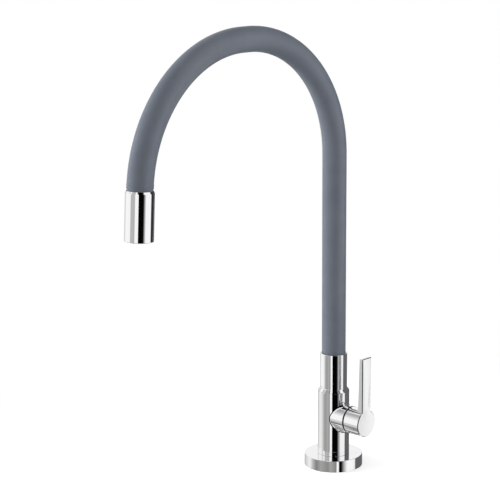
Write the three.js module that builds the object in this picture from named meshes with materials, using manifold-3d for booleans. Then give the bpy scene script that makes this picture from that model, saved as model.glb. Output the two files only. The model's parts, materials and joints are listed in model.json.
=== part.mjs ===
// A flexible kitchen faucet. A polished body stands on a round foot. Its side boss holds a quarter-turn
// headwork with two ceramic discs, turned by the lever. A sleeve swivels on top of the body and carries
// a stay-put hose: a silicone cover over a jointed metal core, with the water tube inside. The hose ends
// in the outlet head with its aerator.
//
// Millimetres, +Z up. The origin is the middle of the foot's underside, on the counter. The spout reaches
// toward -Y and the handle toward +X. At rest the lever stands up and the water is shut off.

import * as THREE from "three";
import { mergeVertices } from "three/addons/utils/BufferGeometryUtils.js";
import Module from "manifold-3d";

// Clearances
const fit = 0.3; // between two pieces that seat in each other
const overrun = 1; // how far a cutting shape runs past the face that it opens

// Foot
const footRadius = 30.8;
const footHeight = 12.4;
const footBevel = 0.4;
const footSkirt = 2.5; // thickness of the outer wall
const footWeb = 3; // thickness of the top plate
const footCollar = 3.7; // thickness of the ring round the body's spigot
const gasketStep = 3.8; // width of the step that presses on the gasket
const gasketWidth = 6;
const gasketThickness = 2.7;

// Body
const bodyRadius = 16.75;
const spigotRadius = 15; // the body's end that stands in the foot
const spigotBottom = 1; // height of the spigot's end above the counter
const supplySocketRadius = 9.5;
const supplySocketDepth = 15;
const supplySocketBevel = 0.8;
const inletRadius = 3.2; // the passage from the supply socket up to the valve seat
const inletOffset = 9; // its distance from the body's middle, away from the handle
const riserRadius = 4; // the passage from the valve chamber up to the swivel socket
const riserOffset = 5;
const swivelSocketRadius = 11;
const swivelSocketDepth = 15.7;
const ringSection = 0.7; // radius of a small O-ring's section
const ringGrip = 0.1; // how far a groove is wider than its ring on each side

// Side boss and valve chamber
const handleHeight = 54.1; // height of the handle's axis
const bodyOverHandle = 27.6; // from there up to where the swivelling sleeve starts
const bossRadius = 14.4;
const bossEnd = 24.6; // distance of the boss's end from the body's middle
const bossFillet = 2.2; // radius of the casting fillet between the boss and the column
const chamberRadius = 9.5;
const seatDepth = -2; // where along X the chamber ends in the valve seat
const seatHoleRadius = 4;
const seamRingThickness = 1.3;
const seamRingProud = 0.1; // how far the black ring stands proud of the boss

// Quarter-turn headwork, from the seat outwards
const washerThickness = 1.8;
const washerWall = 1.2;
const discRadius = 8;
const fixedDiscThickness = 3;
const movingDiscThickness = 3.5;
const portInnerRadius = 2.8;
const portOuterRadius = 6.5;
const portSweepDegrees = 80;
const driveThickness = 3; // the spindle's drive plate
const tangWidth = 3;
const tangLength = 10;
const tangDepth = 2;
const windowWidth = 8; // the barrel's side windows, where the water leaves
const windowLength = 5.5;
const barrelFlange = 2; // how far the barrel's flange stands out past the chamber
const barrelFlangeThickness = 1.5;
const hexagonRadius = 9.8;
const hexagonLength = 5;
const barrelNeckRadius = 6;
const barrelNeckLength = 2;
const spindleRadius = 4;
const splineTeeth = 16;
const splineDepth = 0.4;
const splineLength = 7.5;
const clipThickness = 0.8;
const clipWall = 1.7;
const clipGrooveDepth = 0.8;
const clipGapDegrees = 80;

// Handle
const hubRadius = 14.4;
const hubFront = 46; // distance of the flat front face from the body's middle
const hubWall = 2.1;
const hubBevel = 0.5;
const leverWidth = 14.3;
const leverLength = 70.9; // from the handle's axis to the lever's end
const leverRootThickness = 6.8; // at the handle's axis
const leverTipThickness = 4.4;
const leverBevel = 0.4;
const screwRadius = 2.2;
const screwSunk = 1.2; // how deep the grub screw's end lies in its bore
const screwKeyRadius = 1.3;
const screwKeyDepth = 2.4;

// Swivelling sleeve
const sleeveRadius = 14.2;
const sleeveLength = 41; // from the body's top
const sleeveBevel = 0.4;
const shoulderHeight = 3.4; // the cone between the body's radius and the sleeve's
const hoseSocketDepth = 20;
const swivelSpigotLength = 13.4;
const waterwayRadius = 6;
const upperRingDepth = 3.6; // how deep the swivel's upper O-ring lies in the body
const ringSpacing = 3.4;
const snapRingThickness = 1.2;
const snapRingWall = 1.5;
const snapGrooveDepth = 0.9; // in the body's socket
const snapGapDegrees = 40;
const snapRingDrop = 3.2; // below the lower O-ring
const glideRingThickness = 1;
const glideRingWidth = 2.3;

// Hose
const hoseRadius = 12.5;
const coverWall = 1.5;
const straightRun = 211.3; // from the sleeve's top to where the hose starts its rear bend
const rearBendRadius = 125.5;
const crownLength = 8; // the straight run between the bends
const frontBendRadius = 135;
const frontBendDegrees = 86.8;
const coverLooseness = 0.9; // between the cover and the core
const tubeRadius = 5.6;
const tubeWall = 1.3;
const tubeLooseness = 0.9; // between the tube and the core
const bendShares = [0.176, 0.34, 0.513, 0.688, 0.845]; // where the core bends, along the hose
const bendLimitDegrees = 25; // the most that it bends at one place
const cupWall = 1.3; // thickness of the core's cup at its rim
const ballLooseness = 0.5; // between a ball and its cup

// Hose fittings, one at each end
const fittingPlate = 3;
const fittingStemLength = 4;
const fittingWall = 1.2;
const barbLength = 13;
const barbCount = 3;
const barbRise = 0.5;
const ferruleWall = 1.1;
const ferruleLength = 9;
const ferruleStart = 1; // from the tube's end to the ferrule

// Outlet head, measured up from its lower end
const headRadius = 13.8;
const headLength = 46.8;
const headTopBevelWidth = 1;
const headTopBevelHeight = 2.2;
const headEndBevel = 0.6;
const headSocketDepth = 15;
const headFloor = 4; // thickness of the wall between the hose socket and the aerator's chamber
const mixingRadius = 9;
const aeratorRadius = 11.7;
const aeratorDepth = 14;
const aeratorRecess = 0.8; // how deep the aerator's rim lies in the head
const aeratorWall = 1.6;
const aeratorLip = 1.2;
const aeratorLipHeight = 1.4;
const aeratorGasketThickness = 1.8;
const aeratorGasketWidth = 2.6;
const insertWall = 1.2;
const insertFloor = 2;
const gridHoleRadius = 1.25;
const gridPitch = 3.2;
const gridRings = 2;

// How finely round forms are divided
const roundSides = 24;
const smallSides = 16;
const coreSides = 12;
const tubeSides = 8;
const ringSides = 5;
const bendStepDegrees = 7.5;
const filletSteps = 2;
const ballSteps = 4;
const cupSteps = 3;
const mergeDistance = 1e-4;

const quarterTurn = Math.PI / 2;
const radians = THREE.MathUtils.degToRad;

const wasm = await Module();
wasm.setup();

// A closed geometry as a solid that can be joined and cut
function solidOf(geometry) {
  const bare = geometry.clone();
  bare.deleteAttribute("normal");
  bare.deleteAttribute("uv");
  const merged = mergeVertices(bare, mergeDistance);
  return new wasm.Manifold(
    new wasm.Mesh({
      numProp: 3,
      vertProperties: merged.attributes.position.array,
      triVerts: new Uint32Array(merged.index.array),
    }),
  );
}

// A solid as a geometry, with flat faces
function geometryOf(solid) {
  const mesh = solid.getMesh();
  const indexed = new THREE.BufferGeometry();
  indexed.setAttribute("position", new THREE.BufferAttribute(mesh.vertProperties, 3));
  indexed.setIndex(new THREE.BufferAttribute(mesh.triVerts, 1));
  const geometry = indexed.toNonIndexed();
  geometry.computeVertexNormals();
  return geometry;
}

// The first geometry with the joined ones added and then the cut ones taken away
function shaped(geometry, { joined = [], cut = [] }) {
  let solid = solidOf(geometry);
  for (const piece of joined) {
    solid = solid.add(solidOf(piece));
  }
  for (const piece of cut) {
    solid = solid.subtract(solidOf(piece));
  }
  return geometryOf(solid);
}

// A profile of [radius, height] points, counterclockwise, turned round the Z axis. One that starts on
// the axis ends on it, and any other closes on itself.
function turned(profile, sides = roundSides) {
  const [firstRadius] = profile[0];
  const closed = firstRadius > 0 ? [...profile, profile[0]] : profile;
  const points = closed.map(([radius, height]) => new THREE.Vector2(radius, height));
  return new THREE.LatheGeometry(points, sides).rotateX(quarterTurn);
}

// The same profile turned round the handle's axis, with its heights along X
function turnedOnHandle(profile, sides = roundSides) {
  return turned(profile, sides).rotateY(quarterTurn).translate(0, 0, handleHeight);
}

// A tube's profile between two heights
function ringProfile(inner, outer, bottom, top) {
  return [
    [inner, bottom],
    [outer, bottom],
    [outer, top],
    [inner, top],
  ];
}

// A round bar from one point to another
function bar(radius, start, end, sides = smallSides) {
  const axis = new THREE.Vector3().subVectors(end, start);
  const length = axis.length();
  const turn = new THREE.Quaternion().setFromUnitVectors(new THREE.Vector3(0, 1, 0), axis.normalize());
  const middle = new THREE.Vector3().addVectors(start, end).multiplyScalar(0.5);
  return new THREE.CylinderGeometry(radius, radius, length, sides)
    .applyQuaternion(turn)
    .translate(middle.x, middle.y, middle.z);
}

// A point on or near the handle's axis: its distance along X and its height over the axis
function onHandle(along, above = 0) {
  return new THREE.Vector3(along, 0, handleHeight + above);
}

// A flat outline in the XY plane pulled up the Z axis from a bottom to a top
function pulled(outline, bottom, top) {
  return new THREE.ExtrudeGeometry(outline, {
    depth: top - bottom,
    bevelEnabled: false,
    curveSegments: smallSides,
  }).translate(0, 0, bottom);
}

// The same outline pulled along the handle's axis
function pulledOnHandle(outline, start, end) {
  return pulled(outline, start, end).rotateY(quarterTurn).translate(0, 0, handleHeight);
}

// The outline of a ring or a sector of one, between two angles
function sectorOutline(inner, outer, startAngle, endAngle) {
  const outline = new THREE.Shape();
  outline.absarc(0, 0, outer, startAngle, endAngle, false);
  outline.absarc(0, 0, inner, endAngle, startAngle, true);
  outline.closePath();
  return outline;
}

// The outline of a sprung ring that is open over a gap on its +X side
function splitRingOutline(inner, outer, gapDegrees) {
  const halfGap = radians(gapDegrees) / 2;
  return sectorOutline(inner, outer, halfGap, 2 * Math.PI - halfGap);
}

// The toothed outline of a splined shaft or bore
function splineOutline(outer) {
  const corners = [];
  for (let i = 0; i < 2 * splineTeeth; i += 1) {
    const radius = i % 2 === 0 ? outer : outer - splineDepth;
    const angle = (i * Math.PI) / splineTeeth;
    corners.push(new THREE.Vector2(radius * Math.cos(angle), radius * Math.sin(angle)));
  }
  return new THREE.Shape(corners);
}

// The profile of an O-ring round its middle radius, at a height
function oRingProfile(middleRadius, height) {
  const points = [];
  for (let i = 0; i < ringSides; i += 1) {
    const angle = (2 * Math.PI * i) / ringSides;
    points.push([middleRadius + ringSection * Math.cos(angle), height + ringSection * Math.sin(angle)]);
  }
  return points;
}

// Points along a groove that a wall of a given radius has for a ring, from the wall and back to it
function grooveProfile(wallRadius, floorRadius, middle, halfWidth) {
  return [
    [wallRadius, middle - halfWidth],
    [floorRadius, middle - halfWidth],
    [floorRadius, middle + halfWidth],
    [wallRadius, middle + halfWidth],
  ];
}

// Half the width of the groove that holds a small O-ring
const grooveHalfWidth = ringSection + ringGrip;

// Foot: a hollow polished ring, its gasket and the seal round the body's spigot
const footBore = spigotRadius + fit;

function baseFlange() {
  const collarRadius = footBore + footCollar;
  const stepRadius = footRadius - footSkirt - gasketStep;
  const skirtBore = footRadius - footSkirt;
  const gasketRoom = gasketThickness + fit;
  return turned([
    [footBore, gasketRoom],
    [collarRadius, gasketRoom],
    [collarRadius, footHeight - footWeb],
    [stepRadius, footHeight - footWeb],
    [stepRadius, gasketRoom],
    [skirtBore, gasketRoom],
    [skirtBore, 0],
    [footRadius, 0],
    [footRadius, footHeight - footBevel],
    [footRadius - footBevel, footHeight],
    [footBore, footHeight],
  ]);
}

function baseGasket() {
  const outer = footRadius - footSkirt - fit;
  return turned(ringProfile(outer - gasketWidth, outer, 0, gasketThickness));
}

const baseRingHeight = footHeight / 2;
const baseRingRadius = spigotRadius - ringSection;

// Body: the column on its spigot with the side boss, and the ways that the water takes through it
const bodyTop = handleHeight + bodyOverHandle;
const columnFlats = bodyRadius * Math.cos(Math.PI / roundSides); // radius of the circle inside its facets
const supplySocketTop = spigotBottom + supplySocketDepth;
const swivelSocketFloor = bodyTop - swivelSocketDepth;
const upperRingHeight = bodyTop - upperRingDepth;
const lowerRingHeight = upperRingHeight - ringSpacing;
const snapRingHeight = lowerRingHeight - snapRingDrop;
const snapGrooveHalfWidth = snapRingThickness / 2 + fit;
const glideSeatRadius = swivelSocketRadius + glideRingWidth + fit;

// The places of the fillet, as [distance along X, distance from the boss's axis], in the half plane at an
// angle round that axis whose sine is given. From the column's wall to the boss it is a quadratic curve,
// whose middle point lies where the two tangents cross.
function bossOutline(sine) {
  const wallReach = (radius) => Math.sqrt(columnFlats ** 2 - (radius * sine) ** 2);
  const wallSlope = (radius) => (-radius * sine ** 2) / wallReach(radius);
  const joinSlope = wallSlope(bossRadius);
  const steepness = Math.hypot(joinSlope, 1);
  const setback = bossFillet / Math.tan(Math.acos(joinSlope / steepness) / 2);
  const edgeRadius = bossRadius + setback / steepness;
  const edge = new THREE.Vector2(wallReach(edgeRadius), edgeRadius);
  const crossing = new THREE.Vector2(edge.x - (edgeRadius - bossRadius) * wallSlope(edgeRadius), bossRadius);
  const landing = new THREE.Vector2(wallReach(bossRadius) + setback, bossRadius);
  const fillet = new THREE.QuadraticBezierCurve(edge, crossing, landing).getPoints(filletSteps);
  return [new THREE.Vector2(0, edgeRadius), ...fillet, new THREE.Vector2(bossEnd, bossRadius)];
}

function sideBoss() {
  const runs = filletSteps + 2;
  const boss = new THREE.CylinderGeometry(1, 1, runs, roundSides, runs);
  const { position } = boss.attributes;
  const corner = new THREE.Vector3();
  for (let i = 0; i < position.count; i += 1) {
    corner.fromBufferAttribute(position, i);
    const { x, y } = bossOutline(corner.z)[Math.round(corner.y + runs / 2)];
    position.setXYZ(i, x, y * corner.z, handleHeight + y * corner.x);
  }
  return boss;
}

function valveBody() {
  const column = turned([
    [0, spigotBottom],
    [spigotRadius, spigotBottom],
    ...grooveProfile(spigotRadius, baseRingRadius - ringSection, baseRingHeight, grooveHalfWidth),
    [spigotRadius, footHeight],
    [bodyRadius, footHeight],
    [bodyRadius, bodyTop],
    [0, bodyTop],
  ]);
  const supplySocket = turned(
    [
      [0, spigotBottom - overrun],
      [supplySocketRadius + supplySocketBevel, spigotBottom - overrun],
      [supplySocketRadius + supplySocketBevel, spigotBottom],
      [supplySocketRadius, spigotBottom + supplySocketBevel],
      [supplySocketRadius, supplySocketTop],
      [0, supplySocketTop],
    ],
    smallSides,
  );
  const inlet = bar(
    inletRadius,
    new THREE.Vector3(-inletOffset, 0, supplySocketTop - overrun),
    new THREE.Vector3(-inletOffset, 0, handleHeight + inletRadius),
    tubeSides,
  );
  const seatHole = bar(seatHoleRadius, onHandle(-inletOffset), onHandle(seatDepth + overrun), tubeSides);
  const chamber = bar(chamberRadius, onHandle(seatDepth), onHandle(bossEnd + overrun));
  const riser = bar(
    riserRadius,
    onHandle(riserOffset),
    new THREE.Vector3(riserOffset, 0, swivelSocketFloor + overrun),
    tubeSides,
  );
  const swivelSocket = turned([
    [0, swivelSocketFloor],
    [swivelSocketRadius, swivelSocketFloor],
    ...grooveProfile(
      swivelSocketRadius,
      swivelSocketRadius + snapGrooveDepth,
      snapRingHeight,
      snapGrooveHalfWidth,
    ),
    [swivelSocketRadius, bodyTop - glideRingThickness],
    [glideSeatRadius, bodyTop - glideRingThickness],
    [glideSeatRadius, bodyTop + overrun],
    [0, bodyTop + overrun],
  ]);
  return shaped(column, {
    joined: [sideBoss()],
    cut: [supplySocket, inlet, seatHole, chamber, riser, swivelSocket],
  });
}

function glideRing() {
  const inner = swivelSocketRadius;
  return turned(ringProfile(inner, inner + glideRingWidth, bodyTop - glideRingThickness, bodyTop));
}

// Headwork: the places of its pieces along X, from the seat outwards
const washerEnd = seatDepth + washerThickness;
const fixedDiscStart = washerEnd + fit;
const fixedDiscEnd = fixedDiscStart + fixedDiscThickness;
const movingDiscStart = fixedDiscEnd + fit;
const movingDiscEnd = movingDiscStart + movingDiscThickness;
const driveStart = movingDiscEnd + fit;
const driveEnd = driveStart + driveThickness;
const barrelShoulder = driveEnd + fit;
const flangeStart = bossEnd + fit;
const flangeEnd = flangeStart + barrelFlangeThickness;
const hexagonEnd = flangeEnd + hexagonLength;
const neckEnd = hexagonEnd + barrelNeckLength;
const clipStart = neckEnd + fit;
const clipEnd = clipStart + clipThickness;
const splineStart = clipEnd + fit;
const splineEnd = splineStart + splineLength;
const spindleBore = spindleRadius + fit;
const barrelRadius = chamberRadius - fit;
const barrelRingRadius = barrelRadius - ringSection;
const barrelRingPlace = (barrelShoulder + bossEnd) / 2;
const spindleRingRadius = spindleRadius - ringSection;
const spindleRingPlace = (barrelShoulder + barrelRingPlace) / 2;

function seatWasher() {
  const inner = discRadius - washerWall;
  return turnedOnHandle(ringProfile(inner, discRadius, seatDepth + fit, washerEnd), smallSides);
}

// A disc with two ports that face each other, the first one centred on an angle of the outline
function portedDisc(start, end, portAngle) {
  const outline = new THREE.Shape();
  outline.absarc(0, 0, discRadius, 0, 2 * Math.PI, false);
  const halfSweep = radians(portSweepDegrees) / 2;
  for (const middle of [portAngle, portAngle + Math.PI]) {
    outline.holes.push(sectorOutline(portInnerRadius, portOuterRadius, middle - halfSweep, middle + halfSweep));
  }
  return new THREE.ExtrudeGeometry(outline, {
    depth: end - start,
    bevelEnabled: false,
    curveSegments: tubeSides,
  })
    .translate(0, 0, start)
    .rotateY(quarterTurn)
    .translate(0, 0, handleHeight);
}

// A box across the handle's axis, long along Z at rest
function crossBox(width, length, start, end) {
  const middle = (start + end) / 2;
  return new THREE.BoxGeometry(end - start, width, length).translate(middle, 0, handleHeight);
}

function ceramicDiscFixed() {
  return portedDisc(fixedDiscStart, fixedDiscEnd, 0);
}

function ceramicDiscMoving() {
  const slot = crossBox(
    tangWidth + 2 * fit,
    tangLength + 2 * fit,
    movingDiscEnd - tangDepth,
    movingDiscEnd + overrun,
  );
  return shaped(portedDisc(movingDiscStart, movingDiscEnd, quarterTurn), { cut: [slot] });
}

function headworkBody() {
  const discBore = discRadius + fit;
  const barrel = turnedOnHandle(
    [
      [discBore, fixedDiscStart],
      [barrelRadius, fixedDiscStart],
      ...grooveProfile(barrelRadius, barrelRingRadius - ringSection, barrelRingPlace, grooveHalfWidth),
      [barrelRadius, flangeStart],
      [chamberRadius + barrelFlange, flangeStart],
      [chamberRadius + barrelFlange, flangeEnd],
      [barrelNeckRadius, flangeEnd],
      [barrelNeckRadius, neckEnd],
      [spindleBore, neckEnd],
      [spindleBore, barrelShoulder],
      [discBore, barrelShoulder],
    ],
    smallSides,
  );
  const hexagon = bar(hexagonRadius, onHandle(flangeEnd - overrun), onHandle(hexagonEnd), 6);
  const shaftHole = bar(spindleBore, onHandle(flangeStart), onHandle(hexagonEnd + overrun));
  const windowStart = movingDiscStart;
  const sideWindow = crossBox(windowWidth, 2 * chamberRadius, windowStart, windowStart + windowLength);
  return shaped(barrel, { joined: [hexagon], cut: [shaftHole, sideWindow] });
}

function headworkSpindle() {
  const clipFloor = spindleRadius - clipGrooveDepth;
  const shaft = turnedOnHandle(
    [
      [0, driveStart],
      [discRadius - fit, driveStart],
      [discRadius - fit, driveEnd],
      [spindleRadius, driveEnd],
      ...grooveProfile(spindleRadius, spindleRingRadius - ringSection, spindleRingPlace, grooveHalfWidth),
      [spindleRadius, clipStart - fit],
      [clipFloor, clipStart - fit],
      [clipFloor, splineStart],
      [clipFloor, splineEnd],
      [0, splineEnd],
    ],
    smallSides,
  );
  const spline = pulledOnHandle(splineOutline(spindleRadius), splineStart, splineEnd);
  const tang = crossBox(tangWidth, tangLength, driveStart - tangDepth, driveStart + overrun);
  return shaped(shaft, { joined: [spline, tang] });
}

function spindleClip() {
  const inner = spindleRadius - clipGrooveDepth + fit;
  const outline = splitRingOutline(inner, spindleRadius + clipWall, clipGapDegrees);
  return pulledOnHandle(outline, clipStart, clipEnd);
}

function seamRing() {
  const inner = chamberRadius + barrelFlange + fit;
  const outer = bossRadius + seamRingProud;
  return turnedOnHandle(ringProfile(inner, outer, flangeStart, flangeStart + seamRingThickness));
}

// Handle: a hollow hub and the lever, one casting with a flat front, and the grub screw under the hub
const hubStart = flangeStart + seamRingThickness + fit;
const splineBoreEnd = splineEnd + fit;
const leverTop = handleHeight + leverLength;
const screwPlace = (splineStart + splineEnd) / 2;
const screwTip = spindleRadius + fit;

function handle() {
  const hub = turnedOnHandle([
    [0, hubStart],
    [hubRadius, hubStart],
    [hubRadius, hubFront - hubBevel],
    [hubRadius - hubBevel, hubFront],
    [0, hubFront],
  ]);
  const side = new THREE.Shape([
    new THREE.Vector2(hubFront - leverRootThickness, handleHeight),
    new THREE.Vector2(hubFront, handleHeight),
    new THREE.Vector2(hubFront, leverTop),
    new THREE.Vector2(hubFront - leverTipThickness, leverTop),
  ]);
  const lever = new THREE.ExtrudeGeometry(side, {
    depth: leverWidth - 2 * leverBevel,
    bevelEnabled: true,
    bevelThickness: leverBevel,
    bevelSize: leverBevel,
    bevelOffset: -leverBevel,
    bevelSegments: 1,
  })
    .translate(0, 0, leverBevel - leverWidth / 2)
    .rotateX(quarterTurn);
  const hollow = bar(hubRadius - hubWall, onHandle(hubStart - overrun), onHandle(splineStart), roundSides);
  const splineBore = pulledOnHandle(splineOutline(spindleRadius + fit), splineStart - overrun, splineBoreEnd);
  const screwBore = bar(
    screwRadius + fit,
    onHandle(screwPlace),
    onHandle(screwPlace, -hubRadius - overrun),
    tubeSides,
  );
  return shaped(hub, { joined: [lever], cut: [hollow, splineBore, screwBore] });
}

function handleScrew() {
  const outerEnd = hubRadius - screwSunk;
  const shank = bar(screwRadius, onHandle(screwPlace, -screwTip), onHandle(screwPlace, -outerEnd), tubeSides);
  const key = bar(
    screwKeyRadius,
    onHandle(screwPlace, -outerEnd + screwKeyDepth),
    onHandle(screwPlace, -outerEnd - overrun),
    6,
  );
  return shaped(shank, { cut: [key] });
}

// Sleeve: the cone, the tube that grips the hose, and the spigot that turns in the body
const sleeveStart = bodyTop + fit;
const sleeveTop = bodyTop + sleeveLength;
const swivelSpigotRadius = swivelSocketRadius - fit;
const swivelRingRadius = swivelSpigotRadius - ringSection;
const hoseSocketRadius = hoseRadius + fit;
const hoseSocketFloor = sleeveTop - hoseSocketDepth;
const snapInnerRadius = swivelSpigotRadius + fit - snapRingWall;

function spoutSleeve() {
  const ringFloor = swivelRingRadius - ringSection;
  return turned([
    [waterwayRadius, sleeveStart - swivelSpigotLength],
    [swivelSpigotRadius, sleeveStart - swivelSpigotLength],
    ...grooveProfile(swivelSpigotRadius, snapInnerRadius - fit, snapRingHeight, snapGrooveHalfWidth),
    ...grooveProfile(swivelSpigotRadius, ringFloor, lowerRingHeight, grooveHalfWidth),
    ...grooveProfile(swivelSpigotRadius, ringFloor, upperRingHeight, grooveHalfWidth),
    [swivelSpigotRadius, sleeveStart],
    [bodyRadius, sleeveStart],
    [sleeveRadius, sleeveStart + shoulderHeight],
    [sleeveRadius, sleeveTop - sleeveBevel],
    [sleeveRadius - sleeveBevel, sleeveTop],
    [hoseSocketRadius, sleeveTop],
    [hoseSocketRadius, hoseSocketFloor],
    [waterwayRadius, hoseSocketFloor],
  ]);
}

function snapRing() {
  const outline = splitRingOutline(
    snapInnerRadius,
    swivelSocketRadius + snapGrooveDepth - fit,
    snapGapDegrees,
  );
  const halfThickness = snapRingThickness / 2;
  return pulled(outline, snapRingHeight - halfThickness, snapRingHeight + halfThickness);
}

// Hose line: up the column, over the rear bend, along the crown, down the front bend and straight on
// into the outlet head
const hoseStart = hoseSocketFloor + fittingPlate + fit;
const headGrip = headSocketDepth - fittingPlate - fit; // how far the hose runs into the head
const columnRun = sleeveTop + straightRun - hoseStart;
const rearRun = rearBendRadius * quarterTurn;
const frontRun = frontBendRadius * radians(frontBendDegrees);
const rearEnd = columnRun + rearRun;
const crownEnd = rearEnd + crownLength;
const frontEnd = crownEnd + frontRun;
const hoseLength = frontEnd + headGrip;

// The place on the hose line at a distance along it, with the angle by which it has turned from straight up
function lineAt(distance) {
  const angle =
    distance <= columnRun
      ? 0
      : distance <= rearEnd
        ? (distance - columnRun) / rearBendRadius
        : quarterTurn + Math.min(Math.max(distance - crownEnd, 0), frontRun) / frontBendRadius;
  const onFront = Math.max(angle - quarterTurn, 0);
  const tail = Math.max(distance - frontEnd, 0);
  const onCrown = Math.min(Math.max(distance - rearEnd, 0), crownLength);
  const y =
    -rearBendRadius * (1 - Math.cos(Math.min(angle, quarterTurn))) -
    onCrown -
    frontBendRadius * Math.sin(onFront) -
    tail * Math.sin(angle);
  const z =
    hoseStart +
    Math.min(distance, columnRun) +
    rearBendRadius * Math.sin(Math.min(angle, quarterTurn)) -
    frontBendRadius * (1 - Math.cos(onFront)) +
    tail * Math.cos(angle);
  return { y, z, angle };
}

// Distances along the hose line where a tube that follows it has a ring: each end of a bend and steps in it
function lineStations(from, to) {
  const stations = [];
  const bends = [
    [columnRun, rearEnd, rearBendRadius],
    [crownEnd, frontEnd, frontBendRadius],
  ];
  for (const [start, end, radius] of bends) {
    const steps = Math.round((end - start) / (radius * radians(bendStepDegrees)));
    for (let i = 0; i <= steps; i += 1) {
      stations.push(start + ((end - start) * i) / steps);
    }
  }
  return stations.filter((station) => station > from && station < to);
}

// A profile of [radius, distance] points turned round the hose line. Near a stiff end, closer to it than
// the stiff run, it follows the line's direction at that end, as the core's ball and cup do.
function turnedOnLine(profile, sides, stiffEnds = [], stiffRun = 0) {
  const points = [...profile, profile[0]].map(([radius, distance]) => new THREE.Vector2(radius, distance));
  const geometry = new THREE.LatheGeometry(points, sides);
  const position = geometry.attributes.position;
  for (let i = 0; i < position.count; i += 1) {
    const distance = position.getY(i);
    const base = stiffEnds.find((end) => Math.abs(distance - end) <= stiffRun) ?? distance;
    const { y, z, angle } = lineAt(base);
    const ahead = distance - base;
    const inward = position.getZ(i);
    position.setXYZ(
      i,
      position.getX(i),
      y - inward * Math.cos(angle) - ahead * Math.sin(angle),
      z - inward * Math.sin(angle) + ahead * Math.cos(angle),
    );
  }
  return geometry;
}

// A plain tube along the whole hose line
function tubeOnLine(inner, outer, sides) {
  const stations = lineStations(0, hoseLength);
  const outside = stations.map((station) => [outer, station]);
  const inside = stations.map((station) => [inner, station]).reverse();
  return turnedOnLine(
    [[inner, 0], [outer, 0], ...outside, [outer, hoseLength], [inner, hoseLength], ...inside],
    sides,
  );
}

function hoseCover() {
  return tubeOnLine(hoseRadius - coverWall, hoseRadius, smallSides);
}

function waterTube() {
  return tubeOnLine(tubeRadius - tubeWall, tubeRadius, tubeSides);
}

// Core: stiff stretches, each with a cup at its lower end that takes the ball of the stretch before it
const coreRadius = hoseRadius - coverWall - coverLooseness;
const coreBore = tubeRadius + tubeLooseness;
const cupRadius = coreRadius - cupWall;
const ballRadius = cupRadius - ballLooseness;
const shoulderGap = coreRadius * Math.sin(radians(bendLimitDegrees)) + fit;
const ferruleBore = tubeRadius + fit;
const ferruleRadius = ferruleBore + ferruleWall;
const ferruleRoom = ferruleStart + ferruleLength + fit;
const bendPlaces = bendShares.map((share) => share * hoseLength);

// Points on a ball or cup round a place on the line, between two angles from its equator
function ballProfile(radius, place, startAngle, endAngle, steps) {
  const points = [];
  for (let i = 0; i <= steps; i += 1) {
    const angle = startAngle + ((endAngle - startAngle) * i) / steps;
    points.push([radius * Math.cos(angle), place + radius * Math.sin(angle)]);
  }
  return points;
}

function coreStretch(index) {
  const first = index === 0;
  const last = index === bendPlaces.length;
  const start = first ? 0 : bendPlaces[index - 1];
  const end = last ? hoseLength : bendPlaces[index];
  const lowerEnd = first
    ? [
        [coreBore, start + ferruleRoom],
        [ferruleRadius + fit, start + ferruleRoom],
        [ferruleRadius + fit, start],
      ]
    : ballProfile(cupRadius, start, Math.acos(coreBore / cupRadius), 0, cupSteps);
  const upperEnd = last
    ? [
        [coreRadius, end],
        [ferruleRadius + fit, end],
        [ferruleRadius + fit, end - ferruleRoom],
        [coreBore, end - ferruleRoom],
      ]
    : [
        [coreRadius, end - shoulderGap],
        ...ballProfile(
          ballRadius,
          end,
          -Math.asin(shoulderGap / ballRadius),
          Math.acos(coreBore / ballRadius),
          ballSteps,
        ),
      ];
  const stations = lineStations(start + ballRadius, end - ballRadius);
  const outside = stations.map((station) => [coreRadius, station]);
  const inside = stations.map((station) => [coreBore, station]).reverse();
  const profile = [...lowerEnd, [coreRadius, start], ...outside, ...upperEnd, ...inside];
  return turnedOnLine(profile, coreSides, bendPlaces, ballRadius);
}

// Hose fitting: a plate on the socket's floor, a stem in the waterway and a barb in the water tube
function hoseFitting() {
  const barbRoot = tubeRadius - tubeWall - fit - barbRise;
  const bore = barbRoot - fittingWall;
  const barbStep = barbLength / barbCount;
  const barbs = [];
  for (let i = 0; i < barbCount; i += 1) {
    barbs.push([barbRoot + barbRise, fittingPlate + i * barbStep]);
    barbs.push([barbRoot, fittingPlate + (i + 1) * barbStep]);
  }
  return turned(
    [
      [bore, -fittingStemLength],
      [waterwayRadius - fit, -fittingStemLength],
      [waterwayRadius - fit, 0],
      [hoseRadius, 0],
      [hoseRadius, fittingPlate],
      ...barbs,
      [bore, fittingPlate + barbLength],
    ],
    coreSides,
  );
}

function ferrule() {
  const start = fittingPlate + fit + ferruleStart;
  return turned(ringProfile(ferruleBore, ferruleRadius, start, start + ferruleLength), coreSides);
}

// Outlet head, in its own frame with the middle of its lower end at zero and the hose above
const headSocketFloor = headLength - headSocketDepth;
const aeratorBore = aeratorRadius + fit;

function outletHead() {
  return turned([
    [waterwayRadius, headSocketFloor - headFloor],
    [mixingRadius, headSocketFloor - headFloor],
    [mixingRadius, aeratorDepth],
    [aeratorBore, aeratorDepth],
    [aeratorBore, 0],
    [headRadius - headEndBevel, 0],
    [headRadius, headEndBevel],
    [headRadius, headLength - headTopBevelHeight],
    [headRadius - headTopBevelWidth, headLength],
    [hoseSocketRadius - fit / 2, headLength],
    [hoseSocketRadius - fit / 2, headSocketFloor],
    [waterwayRadius, headSocketFloor],
  ]);
}

const aeratorTop = aeratorDepth - aeratorGasketThickness - fit;
const aeratorInner = aeratorRadius - aeratorWall;

function aeratorGasket() {
  const bottom = aeratorDepth - aeratorGasketThickness;
  return turned(ringProfile(aeratorRadius - aeratorGasketWidth, aeratorRadius, bottom, aeratorDepth), smallSides);
}

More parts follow.
